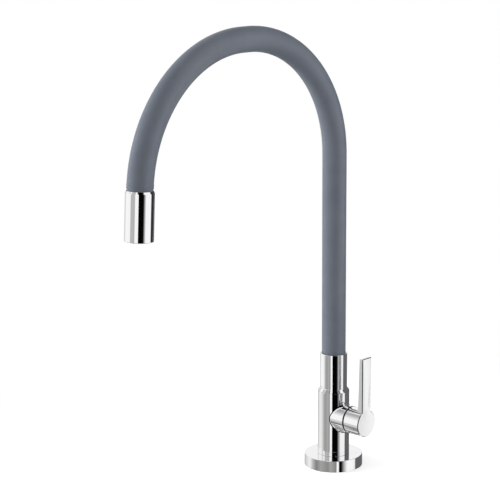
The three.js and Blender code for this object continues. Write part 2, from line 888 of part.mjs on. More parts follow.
function aeratorHousing() {
  return turned(
    [
      [aeratorInner - aeratorLip, aeratorRecess],
      [aeratorRadius, aeratorRecess],
      [aeratorRadius, aeratorTop],
      [aeratorInner, aeratorTop],
      [aeratorInner, aeratorRecess + aeratorLipHeight],
      [aeratorInner - aeratorLip, aeratorRecess + aeratorLipHeight],
    ],
    roundSides,
  );
}

// A cup whose floor is a grid of six-sided holes, ring after ring round the middle one
function aeratorInsert() {
  const bottom = aeratorRecess + aeratorLipHeight + fit;
  const outer = aeratorInner - fit;
  const cup = turned(
    [
      [0, bottom],
      [outer, bottom],
      [outer, aeratorTop],
      [outer - insertWall, aeratorTop],
      [outer - insertWall, bottom + insertFloor],
      [0, bottom + insertFloor],
    ],
    smallSides,
  );
  const holes = [];
  for (let row = -gridRings; row <= gridRings; row += 1) {
    for (let column = -gridRings; column <= gridRings; column += 1) {
      if (Math.abs(row + column) <= gridRings) {
        const x = gridPitch * (column + row / 2);
        const y = gridPitch * row * Math.cos(radians(30));
        const hole = bar(
          gridHoleRadius,
          new THREE.Vector3(x, y, bottom - overrun),
          new THREE.Vector3(x, y, bottom + insertFloor + overrun),
          6,
        );
        holes.push(hole);
      }
    }
  }
  return shaped(cup, { cut: holes });
}

// Finishes, each piece with a material of its own
const finishes = {
  chrome: { color: 0xd9dbdd, roughness: 0.08, metalness: 1 },
  brass: { color: 0xc2a25e, roughness: 0.35, metalness: 1 },
  steel: { color: 0xa9abad, roughness: 0.35, metalness: 1 },
  silicone: { color: 0x6b727c, roughness: 0.6, metalness: 0 },
  rubber: { color: 0x1c1c1e, roughness: 0.8, metalness: 0 },
  ceramic: { color: 0xece9e2, roughness: 0.25, metalness: 0 },
  plastic: { color: 0xe4e5e6, roughness: 0.45, metalness: 0 },
};

const faucet = new THREE.Group();

function place(group, name, geometry, finish) {
  const mesh = new THREE.Mesh(geometry, new THREE.MeshStandardMaterial(finishes[finish]));
  mesh.name = name;
  group.add(mesh);
}

place(faucet, "base_flange", baseFlange(), "chrome");
place(faucet, "base_gasket", baseGasket(), "rubber");
place(faucet, "base_o_ring", turned(oRingProfile(baseRingRadius, baseRingHeight)), "rubber");
place(faucet, "valve_body", valveBody(), "chrome");
place(faucet, "glide_ring", glideRing(), "plastic");

place(faucet, "seat_washer", seatWasher(), "rubber");
place(faucet, "ceramic_disc_fixed", ceramicDiscFixed(), "ceramic");
place(faucet, "ceramic_disc_moving", ceramicDiscMoving(), "ceramic");
place(faucet, "headwork_body", headworkBody(), "brass");
place(faucet, "headwork_spindle", headworkSpindle(), "brass");
place(faucet, "spindle_clip", spindleClip(), "steel");
place(faucet, "seam_ring", seamRing(), "rubber");
const acrossHandle = [
  ["headwork_o_ring", barrelRingRadius, barrelRingPlace],
  ["spindle_o_ring", spindleRingRadius, spindleRingPlace],
];
for (const [name, radius, along] of acrossHandle) {
  place(faucet, name, turnedOnHandle(oRingProfile(radius, along), smallSides), "rubber");
}
place(faucet, "handle", handle(), "chrome");
place(faucet, "handle_screw", handleScrew(), "steel");

place(faucet, "spout_sleeve", spoutSleeve(), "chrome");
place(faucet, "snap_ring", snapRing(), "steel");
place(faucet, "swivel_o_ring_lower", turned(oRingProfile(swivelRingRadius, lowerRingHeight)), "rubber");
place(faucet, "swivel_o_ring_upper", turned(oRingProfile(swivelRingRadius, upperRingHeight)), "rubber");

place(faucet, "hose_cover", hoseCover(), "silicone");
place(faucet, "water_tube", waterTube(), "plastic");
for (let i = 0; i <= bendPlaces.length; i += 1) {
  place(faucet, `core_stretch_${i + 1}`, coreStretch(i), "steel");
}

const lowerEnd = new THREE.Group();
lowerEnd.position.z = hoseSocketFloor;
place(lowerEnd, "lower_hose_fitting", hoseFitting(), "brass");
place(lowerEnd, "lower_ferrule", ferrule(), "steel");
faucet.add(lowerEnd);

// The outlet's group stands at the head's lower end and leans as the hose line does there
const outletLean = lineAt(hoseLength).angle - Math.PI;
const headEnd = lineAt(frontEnd + headLength);
const outlet = new THREE.Group();
outlet.position.set(0, headEnd.y, headEnd.z);
outlet.rotation.x = outletLean;
place(outlet, "outlet_head", outletHead(), "chrome");
place(outlet, "aerator_gasket", aeratorGasket(), "rubber");
place(outlet, "aerator_housing", aeratorHousing(), "chrome");
place(outlet, "aerator_insert", aeratorInsert(), "plastic");
const upperEnd = new THREE.Group();
upperEnd.position.z = headSocketFloor;
place(upperEnd, "upper_hose_fitting", hoseFitting(), "brass");
place(upperEnd, "upper_ferrule", ferrule(), "steel");
outlet.add(upperEnd);
faucet.add(outlet);

export default faucet;
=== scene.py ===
"""A flexible kitchen faucet: polished body, foot, lever and head in chrome, and a grey silicone hose.

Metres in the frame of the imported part, +Z up. The spout reaches toward -Y and the handle toward +X.
"""

import json
import math

import bmesh
import bpy
import numpy as np
from mathutils import Matrix, Vector


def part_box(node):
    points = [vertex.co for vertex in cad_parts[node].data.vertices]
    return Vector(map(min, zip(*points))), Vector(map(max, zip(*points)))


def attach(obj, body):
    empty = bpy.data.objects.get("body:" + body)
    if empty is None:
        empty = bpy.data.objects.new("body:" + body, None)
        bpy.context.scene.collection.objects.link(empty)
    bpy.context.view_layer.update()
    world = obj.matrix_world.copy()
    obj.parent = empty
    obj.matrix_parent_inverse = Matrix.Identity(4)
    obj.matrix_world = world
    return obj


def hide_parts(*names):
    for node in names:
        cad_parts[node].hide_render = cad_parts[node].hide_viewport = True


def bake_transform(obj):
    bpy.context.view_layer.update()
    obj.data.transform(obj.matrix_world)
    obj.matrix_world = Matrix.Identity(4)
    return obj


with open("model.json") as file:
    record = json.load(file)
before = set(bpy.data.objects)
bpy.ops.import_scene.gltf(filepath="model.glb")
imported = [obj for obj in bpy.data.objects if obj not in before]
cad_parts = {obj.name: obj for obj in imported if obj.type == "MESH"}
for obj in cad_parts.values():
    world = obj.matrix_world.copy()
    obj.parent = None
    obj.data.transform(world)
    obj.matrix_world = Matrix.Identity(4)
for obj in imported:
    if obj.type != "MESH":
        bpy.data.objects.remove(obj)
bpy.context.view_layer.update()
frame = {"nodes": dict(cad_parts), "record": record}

MM = 0.001
TURN = 2 * math.pi

# Camera, as the photograph was taken
CAMERA_PLACE = (1069.4 * MM, -1225.5 * MM, 590.5 * MM)
CAMERA_TURN_DEGREES = 44.19
CAMERA_DIP_DEGREES = 12.39
CAMERA_ROLL_DEGREES = -0.43
CAMERA_LENS = 115.2  # in millimetres, as is the sensor's width
CAMERA_SENSOR = 36
CAMERA_FAR = 20  # metres

# How finely round forms are divided
ROUND_SIDES = 192
BORE_SIDES = 64
HOSE_SIDES = 72
FILLET_STEPS = 6
SHARP_DEGREES = 35
FLAT_WEIGHT = 100  # the largest faces count most
MERGE_DISTANCE = 1e-4 * MM
SAME_PLACE = 1e-12  # the least length that a direction is divided by
FOLDED = 1e-3  # half a corner's angle in radians, under which it takes no fillet

# Sizes that the frame's boxes don't give
FIT = 0.3 * MM
EDGE_FILLET = 0.45 * MM
SEAM_FILLET = 0.12 * MM
OVERRUN = 1 * MM
FOOT_SKIRT = 2.5 * MM
FOOT_WEB = 3 * MM
FOOT_COLLAR = 3.7 * MM
FOOT_STEP = 3.8 * MM
SOCKET_BEVEL = 0.8 * MM


def box_of(node):
    """The lowest and highest corner of a node as numpy arrays."""
    low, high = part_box(node)
    return np.array(low), np.array(high)


def linear(colour):
    """An sRGB hex colour as linear RGBA."""
    channels = np.array([int(colour[i : i + 2], 16) for i in (1, 3, 5)]) / 255
    curved = np.where(channels <= 0.04045, channels / 12.92, ((channels + 0.055) / 1.055) ** 2.4)
    return (*curved.tolist(), 1.0)


def add(owner, kind, inputs=None, stops=(), **settings):
    """Adds a node to a material or world. Settings are its properties, inputs maps each socket to a value
    or to another node's output, and stops are a colour ramp's pairs of a share from 0 to 1 and a colour."""
    made = owner.node_tree.nodes.new(kind)
    for name, value in settings.items():
        setattr(made, name, value)
    for socket, value in (inputs or {}).items():
        if isinstance(value, bpy.types.NodeSocket):
            owner.node_tree.links.new(value, made.inputs[socket])
        else:
            made.inputs[socket].default_value = value
    if stops:
        elements = made.color_ramp.elements
        elements.remove(elements[-1])
        for i, (share, colour) in enumerate(stops):
            element = elements[0] if i == 0 else elements.new(share)
            element.position = share
            element.color = linear(colour)
    return made


def blank_material(name):
    """A material with no nodes yet."""
    material = bpy.data.materials.new(name)
    material.use_nodes = True
    material.node_tree.nodes.clear()
    return material


def finish_material(material, shader):
    """Links a shader's output to the material's surface."""
    add(material, "ShaderNodeOutputMaterial", {"Surface": shader.outputs[0]})
    return material


# Noise mostly lies in this range
NOISE_SPAN = {"From Min": 0.3, "From Max": 0.7}
NOISE_ROUGHNESS = 0.55
EVEN = (1, 1, 1)


def patterned(material, kind, noises, follows, constants=None, relief=None):
    """A shader whose sockets follow noises on the piece's own coordinates. Each noise has its features'
    width in millimetres, its detail and its stretch along the axes, where under 1 draws it out. A socket
    that follows a noise runs with it between two hex colours or two numbers, and the relief follows one by
    a depth in millimetres and a strength. Constants are the sockets that are the same all over."""
    place = add(material, "ShaderNodeTexCoord").outputs["Object"]
    fields = {}
    for name, (size, detail, stretch) in noises.items():
        drawn = add(material, "ShaderNodeMapping", {"Vector": place, "Scale": stretch}).outputs[0]
        grain = {"Scale": 1 / (size * MM), "Detail": detail, "Roughness": NOISE_ROUGHNESS}
        made = add(material, "ShaderNodeTexNoise", {"Vector": drawn, **grain})
        fields[name] = made.outputs["Fac"]
    sockets = dict(constants or {})
    for socket, (name, low, high) in follows.items():
        coloured = isinstance(low, str)
        span = {"Value": fields[name], **NOISE_SPAN}
        if not coloured:
            span.update({"To Min": low, "To Max": high})
        value = add(material, "ShaderNodeMapRange", span).outputs["Result"]
        if coloured:
            blend = {"Factor": value, 6: linear(low), 7: linear(high)}
            value = add(material, "ShaderNodeMix", blend, data_type="RGBA").outputs[2]
        sockets[socket] = value
    if relief:
        name, depth, strength = relief
        bump = {"Height": fields[name], "Distance": depth * MM, "Strength": strength}
        sockets["Normal"] = add(material, "ShaderNodeBump", bump).outputs["Normal"]
    return add(material, kind, sockets)


def surface(name, noises, colours, roughness, constants, relief=None):
    """A material of this name, whose colour and roughness each follow one of its noises."""
    material = blank_material(name)
    follows = {"Base Color": colours, "Roughness": roughness}
    shader = patterned(material, "ShaderNodeBsdfPrincipled", noises, follows, constants, relief)
    return finish_material(material, shader)


def polished_chrome():
    """Bright nickel and chrome plated on buffed brass: a mirror, a little blue, with the faint ripple
    that buffing leaves and a trace of haze."""
    return surface(
        "polished_chrome",
        noises={"haze": (14, 3, EVEN), "ripple": (9, 1, EVEN)},
        colours=("haze", "#F3F4F5", "#F7F7F8"),
        roughness=("haze", 0.03, 0.06),
        constants={"Metallic": 1.0},
        relief=("ripple", 0.01, 0.3),
    )


def silicone():
    """Silicone rubber moulded with a satin skin: a cool mid grey that spreads light softly, with a fine
    grain that is drawn a little coarser than the real one, so that it shows."""
    return surface(
        "silicone",
        noises={"grain": (0.35, 2, EVEN), "cloud": (22, 3, EVEN)},
        colours=("cloud", "#5F6570", "#656B75"),
        roughness=("grain", 0.42, 0.5),
        constants={"IOR": 1.41},
        relief=("grain", 0.02, 0.35),
    )


def moulded_rubber():
    """EPDM rubber moulded black and slightly matt, with a fine bloom on its skin."""
    return surface(
        "moulded_rubber",
        noises={"grain": (0.3, 3, EVEN), "bloom": (6, 3, EVEN)},
        colours=("bloom", "#0B0B0B", "#121213"),
        roughness=("grain", 0.5, 0.65),
        constants={"IOR": 1.3},
        relief=("grain", 0.02, 0.4),
    )


def machined_brass():
    """Dezincification resistant brass, turned on a lathe: warm yellow with fine tool lines across its
    length and slightly dull spots."""
    return surface(
        "machined_brass",
        noises={"lines": (0.25, 3, (1, 0.08, 0.08)), "dull": (5, 3, EVEN)},
        colours=("dull", "#D2B36B", "#C4A35C"),
        roughness=("lines", 0.22, 0.38),
        constants={"Metallic": 1.0},
        relief=("lines", 0.02, 0.5),
    )


def drawn_steel():
    """Stainless spring steel, drawn and passivated: neutral grey with a soft grain along its surface."""
    return surface(
        "drawn_steel",
        noises={"grain": (0.3, 3, (1, 1, 0.1))},
        colours=("grain", "#B9BBBD", "#C6C7C8"),
        roughness=("grain", 0.24, 0.38),
        constants={"Metallic": 1.0},
        relief=("grain", 0.01, 0.4),
    )


def lapped_alumina():
    """Sintered alumina, lapped flat: warm white, dense and half glossy, with a faint cloud."""
    return surface(
        "lapped_alumina",
        noises={"cloud": (1.5, 3, EVEN)},
        colours=("cloud", "#E9E5DA", "#F1EEE6"),
        roughness=("cloud", 0.16, 0.26),
        constants={"IOR": 1.76},
    )


def moulded_acetal():
    """Acetal and crosslinked polythene, moulded and drawn in milky white: waxy, half matt, with slight
    flow marks and a soft glow just under the skin."""
    return surface(
        "moulded_acetal",
        noises={"flow": (3, 3, (1, 1, 0.4))},
        colours=("flow", "#E2E3E2", "#ECECEA"),
        roughness=("flow", 0.34, 0.46),
        constants={"IOR": 1.48, "Subsurface Weight": 0.1, "Subsurface Radius": (1.5 * MM,) * 3},
    )


MATERIALS = {
    "chrome": polished_chrome(),
    "silicone": silicone(),
    "rubber": moulded_rubber(),
    "brass": machined_brass(),
    "steel": drawn_steel(),
    "ceramic": lapped_alumina(),
    "plastic": moulded_acetal(),
}
SLOT_OF = {part["node"]: part["material_slot"] for part in frame["record"]["subparts"]}
BODY_OF = {node: body for body, nodes in frame["record"]["behaviour"]["bodies"].items() for node in nodes}


def placed(name, data):
    """An object that holds this data, in the scene."""
    made = bpy.data.objects.new(name, data)
    bpy.context.scene.collection.objects.link(made)
    return made


def as_points(*coordinates):
    """Arrays of coordinates and single numbers as one array of points, with the coordinates last."""
    return np.stack(np.broadcast_arrays(*coordinates), axis=-1)


def grid_faces(rings, sides, close_rings):
    """The faces of a grid of points [ring, side]. Its sides close on themselves and, if asked, its rings."""
    count = rings if close_rings else rings - 1
    ring, side = np.meshgrid(np.arange(count), np.arange(sides), indexing="ij")
    here, beyond = ring * sides, (ring + 1) % rings * sides
    next_side = (side + 1) % sides
    corners = [here + side, here + next_side, beyond + next_side, beyond + side]
    return np.stack(corners, axis=-1).reshape(-1, 4)


def solid(name, grids, close_rings=False, distance=MERGE_DISTANCE):
    """One closed piece from grids of points [ring, side, xyz] that meet at their ends. Points that share a
    place, as where grids meet or at a pole, are merged, and the faces are turned outwards."""
    faces, first = [], 0
    for points in grids:
        faces.append(grid_faces(*points.shape[:2], close_rings) + first)
        first += points.shape[0] * points.shape[1]
    mesh = bpy.data.meshes.new(name)
    points = np.concatenate([points.reshape(-1, 3) for points in grids])
    mesh.from_pydata(points.tolist(), [], np.concatenate(faces).tolist())
    work = bmesh.new()
    work.from_mesh(mesh)
    bmesh.ops.remove_doubles(work, verts=work.verts, dist=distance)
    bmesh.ops.recalc_face_normals(work, faces=work.faces)
    work.to_mesh(mesh)
    work.free()
    return placed(name, mesh)


def rounded(corners, steps=FILLET_STEPS):
    """A profile of [radius, height] points from corners [radius, height, fillet], each with its fillet as an
    arc: centre plus fillet times (cos, sin), from the one tangent point to the other."""
    points = []
    flat = [np.array(corner[:2], float) for corner in corners]
    for i, corner in enumerate(corners):
        fillet = corner[2] if len(corner) > 2 else 0
        here, before, after = flat[i], flat[i - 1], flat[(i + 1) % len(flat)]
        to_before = (before - here) / max(np.linalg.norm(before - here), SAME_PLACE)
        to_after = (after - here) / max(np.linalg.norm(after - here), SAME_PLACE)
        half = math.acos(float(np.clip(to_before @ to_after, -1, 1))) / 2
        if fillet <= 0 or half < FOLDED:
            points.append(here)
            continue
        bisector = (to_before + to_after) / np.linalg.norm(to_before + to_after)
        centre = here + bisector * fillet / math.sin(half)
        start = here + to_before * fillet / math.tan(half) - centre
        end = here + to_after * fillet / math.tan(half) - centre
        sweep = math.pi - 2 * half
        share = np.linspace(0, 1, steps + 1)[:, None]
        arc = (np.sin((1 - share) * sweep) * start + np.sin(share * sweep) * end) / math.sin(sweep)
        points.extend(centre + arc)
    return np.array(points)


def turned_points(profile, place, sides):
    """P(k, angle) = place (r cos angle, r sin angle, h), for each point (r, h) of the profile."""
    angle = np.arange(sides) / sides * TURN
    radius, height = profile[:, 0][:, None], profile[:, 1][:, None]
    local = as_points(radius * np.cos(angle), radius * np.sin(angle), height, 1.0)
    return (local @ np.array(place).T)[..., :3]


def turned(name, corners, place=Matrix.Identity(4), sides=ROUND_SIDES):
    """A profile turned round the axis of a place. One that starts on the axis ends on it."""
    on_axis = corners[0][0] == 0
    return solid(name, [turned_points(rounded(corners), place, sides)], close_rings=not on_axis)


def rod(name, radius, start, end):
    """A round bar from one point to another."""
    along = Vector(np.subtract(end, start))
    place = Matrix.Translation(start) @ along.to_track_quat("Z", "Y").to_matrix().to_4x4()
    length = math.dist(start, end)
    return turned(name, [(0, 0), (radius, 0), (radius, length), (0, length)], place, BORE_SIDES)


def cut(piece, others):
    """Cuts other closed pieces away from a piece, and drops them."""
    for other in others:
        modifier = piece.modifiers.new("boolean", "BOOLEAN")
        modifier.operation = "DIFFERENCE"
        modifier.solver = "EXACT"
        modifier.object = other
    bpy.context.view_layer.update()
    evaluated = piece.evaluated_get(bpy.context.evaluated_depsgraph_get())
    mesh = bpy.data.meshes.new_from_object(evaluated)
    piece.modifiers.clear()
    old = piece.data
    piece.data = mesh
    bpy.data.meshes.remove(old)
    mesh.name = piece.name
    for other in others:
        bpy.data.objects.remove(other)
    return piece


def shade(piece, keep_flats=True):
    """Smooth shading that stays sharp at real edges. Large faces keep their own direction, so that flats
    next to a fillet mirror evenly."""
    piece.data.shade_smooth()
    piece.data.set_sharp_from_angle(angle=math.radians(SHARP_DEGREES))
    if keep_flats:
        modifier = piece.modifiers.new("weighted normals", "WEIGHTED_NORMAL")
        modifier.mode = "FACE_AREA"
        modifier.weight = FLAT_WEIGHT
        modifier.keep_sharp = True


def dress(piece, node):
    """Makes a piece stand for a node: hides the node, gives the piece the material of the node's slot and
    attaches it to the node's body.
    """
    slot = SLOT_OF[node]
    piece.data.materials.clear()
    piece.data.materials.append(MATERIALS[slot])
    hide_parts(node)
    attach(piece, BODY_OF[node])


# Foot
foot_radius, _, foot_height = box_of("base_flange")[1]
SPIGOT_RADIUS = 15 * MM
GASKET_THICKNESS = 2.7 * MM


def foot():
    """The hollow foot: a skirt, a top plate and a collar round the body's spigot."""
    bore = SPIGOT_RADIUS + FIT
    collar = bore + FOOT_COLLAR
    skirt = foot_radius - FOOT_SKIRT
    step = skirt - FOOT_STEP
    room = GASKET_THICKNESS + FIT
    under = foot_height - FOOT_WEB
    corners = [
        (bore, room),
        (collar, room, SEAM_FILLET),
        (collar, under, EDGE_FILLET),
        (step, under, EDGE_FILLET),
        (step, room, SEAM_FILLET),
        (skirt, room),
        (skirt, 0, SEAM_FILLET),
        (foot_radius, 0, SEAM_FILLET),
        (foot_radius, foot_height, EDGE_FILLET),
        (bore, foot_height),
    ]
    return turned("foot", corners)


# Body
body_low, body_high = box_of("valve_body")
body_radius = -body_low[0]
body_top = body_high[2]
boss_end = body_high[0]
spigot_bottom = body_low[2]
handle_low, handle_high = box_of("handle")
hub_radius = handle_high[1]
axis_height = handle_low[2] + hub_radius
BOSS_RADIUS = 14.4 * MM
FLARE_TOP = 2.1 * MM  # how far the casting flares out at the column, above and below the boss
FLARE_SIDE = 0.9 * MM
STRETCH_TOP = 1.6  # its length along the boss for each length out
STRETCH_SIDE = 1.0
FLARE_HOLLOW = 0.4  # the share of its width and length at which its curve's middle point lies
WALL_CROWDING = 1.2  # over 1 sets the wall's rings closer together near the boss
BOSS_ROWS = 6
WALL_ROWS = 40
WALL_RINGS = 48
CHAMBER_RADIUS = 9.5 * MM
SEAT_DEPTH = -2 * MM
SEAT_HOLE_RADIUS = 4 * MM
INLET_RADIUS = 3.2 * MM
INLET_OFFSET = 9 * MM
RISER_RADIUS = 4 * MM
RISER_OFFSET = 5 * MM
SUPPLY_RADIUS = 9.5 * MM
SUPPLY_DEPTH = 15 * MM
SWIVEL_RADIUS = 11 * MM
SWIVEL_DEPTH = 15.7 * MM
GLIDE_THICKNESS = 1 * MM
GLIDE_WIDTH = 2.3 * MM
RING_SECTION = 0.7 * MM
RING_GRIP = 0.1 * MM
UPPER_RING_DEPTH = 3.6 * MM
RING_SPACING = 3.4 * MM
SNAP_DROP = 3.2 * MM
SNAP_THICKNESS = 1.2 * MM
SNAP_WALL = 1.5 * MM
SNAP_GROOVE = 0.9 * MM

HANDLE_PLACE = Matrix.Translation((0, 0, axis_height)) @ Matrix.Rotation(math.pi / 2, 4, "Y")
groove_half = RING_SECTION + RING_GRIP
upper_ring = body_top - UPPER_RING_DEPTH
lower_ring = upper_ring - RING_SPACING
snap_ring = lower_ring - SNAP_DROP
snap_half = SNAP_THICKNESS / 2 + FIT


def groove(wall, floor, middle, half):
    """Corners of a groove that a wall has for a ring, from the wall and back to it."""
    return [(wall, middle - half), (floor, middle - half), (floor, middle + half), (wall, middle + half)]


def wall_with_boss(bottom, top):
    """The column's wall, unrolled, as rings from its border in to the boss, then up the fillet and along
    the boss. A wall point is (R cos t, R sin t, z) with (t, z) between the hole's edge and the border.
    In the half plane at an angle round the boss's axis the flare is a quadratic curve from the wall to
    the boss, whose middle point lies under the straight line between them."""
    around = np.linspace(-math.pi, math.pi, ROUND_SIDES + 1)
    up = np.linspace(bottom, top, WALL_ROWS + 1)[1:-1]
    border = np.concatenate(
        [
            as_points(around, top),
            as_points(math.pi, up[::-1]),
            as_points(around[::-1], bottom),
            as_points(-math.pi, up),
        ]
    )
    turn = np.arctan2(border[:, 0] * body_radius, border[:, 1] - axis_height)
    sine = np.sin(turn)

    def wall_reach(radius):
        """How far from the middle the wall is, at a radius from the boss's axis."""
        return np.sqrt(body_radius**2 - (radius * sine) ** 2)

    toward_top = np.cos(turn) ** 2
    flare = FLARE_SIDE + (FLARE_TOP - FLARE_SIDE) * toward_top
    stretch = STRETCH_SIDE + (STRETCH_TOP - STRETCH_SIDE) * toward_top
    edge_radius = BOSS_RADIUS + flare
    edge_reach = wall_reach(edge_radius)
    boss_reach = edge_reach + stretch * flare
    middle_radius = BOSS_RADIUS + FLARE_HOLLOW * flare
    middle_reach = edge_reach + FLARE_HOLLOW * (boss_reach - edge_reach)
    edge = as_points(np.arctan2(edge_radius * sine, edge_reach), axis_height + edge_radius * np.cos(turn))
    share = np.linspace(1, 0, WALL_RINGS)[:, None, None] ** WALL_CROWDING
    wall = edge + share * (border - edge)
    theta = wall[..., 0]
    rings = [as_points(body_radius * np.cos(theta), body_radius * np.sin(theta), wall[..., 1])]

    def on_boss(reach, radius):
        """A ring of points at a reach along X and a radius from the boss's axis."""
        return as_points(reach, radius * sine, axis_height + radius * np.cos(turn))[None]

    for part in np.linspace(0, 1, 2 * FILLET_STEPS + 1)[1:]:
        first, second, third = (1 - part) ** 2, 2 * part * (1 - part), part**2
        reach = first * edge_reach + second * middle_reach + third * boss_reach
        rings.append(on_boss(reach, first * edge_radius + second * middle_radius + third * BOSS_RADIUS))
    for part in np.linspace(0, 1, BOSS_ROWS + 1)[1:]:
        rings.append(on_boss(boss_reach + part * (boss_end - SEAM_FILLET - boss_reach), BOSS_RADIUS))
    for bend in np.linspace(0, math.pi / 2, FILLET_STEPS + 1)[1:]:
        inset = SEAM_FILLET * (1 - math.cos(bend))
        rings.append(on_boss(boss_end - SEAM_FILLET * (1 - math.sin(bend)), BOSS_RADIUS - inset))
    rings.append(on_boss(boss_end, 0))
    return np.concatenate(rings)


def valve_body():
    """The column on its spigot with the side boss, less its socket, chamber and passages."""
    ring_floor = SPIGOT_RADIUS - 2 * RING_SECTION
    wall_start = foot_height + EDGE_FILLET
    wall_end = body_top - SEAM_FILLET
    below = [
        (0, spigot_bottom),
        (SPIGOT_RADIUS, spigot_bottom, EDGE_FILLET),
        *groove(SPIGOT_RADIUS, ring_floor, foot_height / 2, groove_half),
        (SPIGOT_RADIUS, foot_height),
        (body_radius, foot_height, EDGE_FILLET),
        (body_radius, wall_start),
    ]
    above = [(body_radius, wall_end), (body_radius, body_top, SEAM_FILLET), (0, body_top)]
    upright = Matrix.Identity(4)
    ends = [turned_points(rounded(corners), upright, ROUND_SIDES) for corners in (below, above)]
    column = solid("body", [*ends, wall_with_boss(wall_start, wall_end)])
    supply_top = spigot_bottom + SUPPLY_DEPTH
    mouth = SUPPLY_RADIUS + SOCKET_BEVEL
    supply = turned(
        "supply",
        [
            (0, spigot_bottom - OVERRUN),
            (mouth, spigot_bottom - OVERRUN),
            (mouth, spigot_bottom),
            (SUPPLY_RADIUS, spigot_bottom + SOCKET_BEVEL),
            (SUPPLY_RADIUS, supply_top, EDGE_FILLET),
            (0, supply_top),
        ],
        sides=BORE_SIDES,
    )
    socket_floor = body_top - SWIVEL_DEPTH
    # Each by its radius and its ends (x, z), in the plane of the column's and the boss's axes
    passages = {
        "inlet": (
            INLET_RADIUS,
            (-INLET_OFFSET, supply_top - OVERRUN),
            (-INLET_OFFSET, axis_height + INLET_RADIUS),
        ),
        "seat": (SEAT_HOLE_RADIUS, (-INLET_OFFSET, axis_height), (SEAT_DEPTH + OVERRUN, axis_height)),
        "chamber": (CHAMBER_RADIUS, (SEAT_DEPTH, axis_height), (boss_end + OVERRUN, axis_height)),
        "riser": (RISER_RADIUS, (RISER_OFFSET, axis_height), (RISER_OFFSET, socket_floor + OVERRUN)),
    }
    bores = [
        rod(name, radius, (x, 0, z), (end_x, 0, end_z))
        for name, (radius, (x, z), (end_x, end_z)) in passages.items()
    ]
    glide_seat = SWIVEL_RADIUS + GLIDE_WIDTH + FIT
    socket = turned(
        "socket",
        [
            (0, socket_floor),
            (SWIVEL_RADIUS, socket_floor),
            *groove(SWIVEL_RADIUS, SWIVEL_RADIUS + SNAP_GROOVE, snap_ring, snap_half),
            (SWIVEL_RADIUS, body_top - GLIDE_THICKNESS),
            (glide_seat, body_top - GLIDE_THICKNESS),
            (glide_seat, body_top + OVERRUN),
            (0, body_top + OVERRUN),
        ],
        sides=BORE_SIDES,
    )
    return cut(column, [supply, *bores, socket])


# Sleeve
SLEEVE_RADIUS = 14.2 * MM
SLEEVE_GAP = 0.08 * MM  # so close that it hardly shows
sleeve_bottom, sleeve_top = (corner[2] for corner in box_of("spout_sleeve"))
sleeve_start = body_top + SLEEVE_GAP
SHOULDER_HEIGHT = 3.4 * MM
SHOULDER_FILLET = 1.2 * MM
HOSE_SOCKET_DEPTH = 20 * MM
WATERWAY_RADIUS = 6 * MM
HOSE_RADIUS = 12.5 * MM


def sleeve():
    """The sleeve: its spigot with three grooves, the cone and the tube that grips the hose."""
    spigot = SWIVEL_RADIUS - FIT
    snap_floor = spigot - SNAP_WALL
    ring_floor = spigot - 2 * RING_SECTION
    socket = HOSE_RADIUS + FIT
    socket_floor = sleeve_top - HOSE_SOCKET_DEPTH
    corners = [
        (WATERWAY_RADIUS, sleeve_bottom),
        (spigot, sleeve_bottom, EDGE_FILLET),
        *groove(spigot, snap_floor, snap_ring, snap_half),
        *groove(spigot, ring_floor, lower_ring, groove_half),
        *groove(spigot, ring_floor, upper_ring, groove_half),
        (spigot, sleeve_start),
        (body_radius, sleeve_start, SEAM_FILLET),
        (SLEEVE_RADIUS, sleeve_start + SHOULDER_HEIGHT, SHOULDER_FILLET),
        (SLEEVE_RADIUS, sleeve_top, EDGE_FILLET),
        (socket, sleeve_top, SEAM_FILLET),
        (socket, socket_floor),
        (WATERWAY_RADIUS, socket_floor),
    ]
    return turned("sleeve", corners)


# Seam ring between the boss and the hub
seam_low, seam_high = box_of("seam_ring")
SEAM_BORE = 11.8 * MM
SEAM_SWELL = 0.22 * MM  # how far the soft ring fills the gap on each side
SEAM_ROUNDING_SHARE = 0.2  # its outer edges' fillet, as a share of its width


def seam():
    """The black ring that stands slightly proud of the boss."""
    outer = seam_high[1]
    start, end = seam_low[0] - SEAM_SWELL, seam_high[0] + SEAM_SWELL
    fillet = (end - start) * SEAM_ROUNDING_SHARE
    return turned(
        "seam",
        [(SEAM_BORE, start), (outer, start, fillet), (outer, end, fillet), (SEAM_BORE, end)],
        HANDLE_PLACE,
    )


# Handle
hub_start, hub_front = handle_low[0], handle_high[0]
lever_rise = handle_high[2] - axis_height
HUB_WALL = 2.1 * MM
LEVER_HALF_WIDTH = 14.3 / 2 * MM
LEVER_ROOT = 6.8 * MM
LEVER_TIP = 4.4 * MM
LEVER_CORNER = 0.5 * MM
FRONT_CHAMFER = 0.8 * MM
CHAMFER_FILLET = 0.4 * MM
CAVITY_FLOOR = 34.8 * MM
SPLINE_END = 42.6 * MM
SPLINE_RADIUS = 4.3 * MM
SPLINE_DEPTH = 0.4 * MM
SPLINE_TEETH = 16
SCREW_BORE = 2.5 * MM
SCREW_PLACE = 38.55 * MM
ARC_SAMPLES = 180
SIDE_SAMPLES = 14
CORNER_SAMPLES = 5
TOP_SAMPLES = 9
LEVER_MERGE = 1e-3 * MM


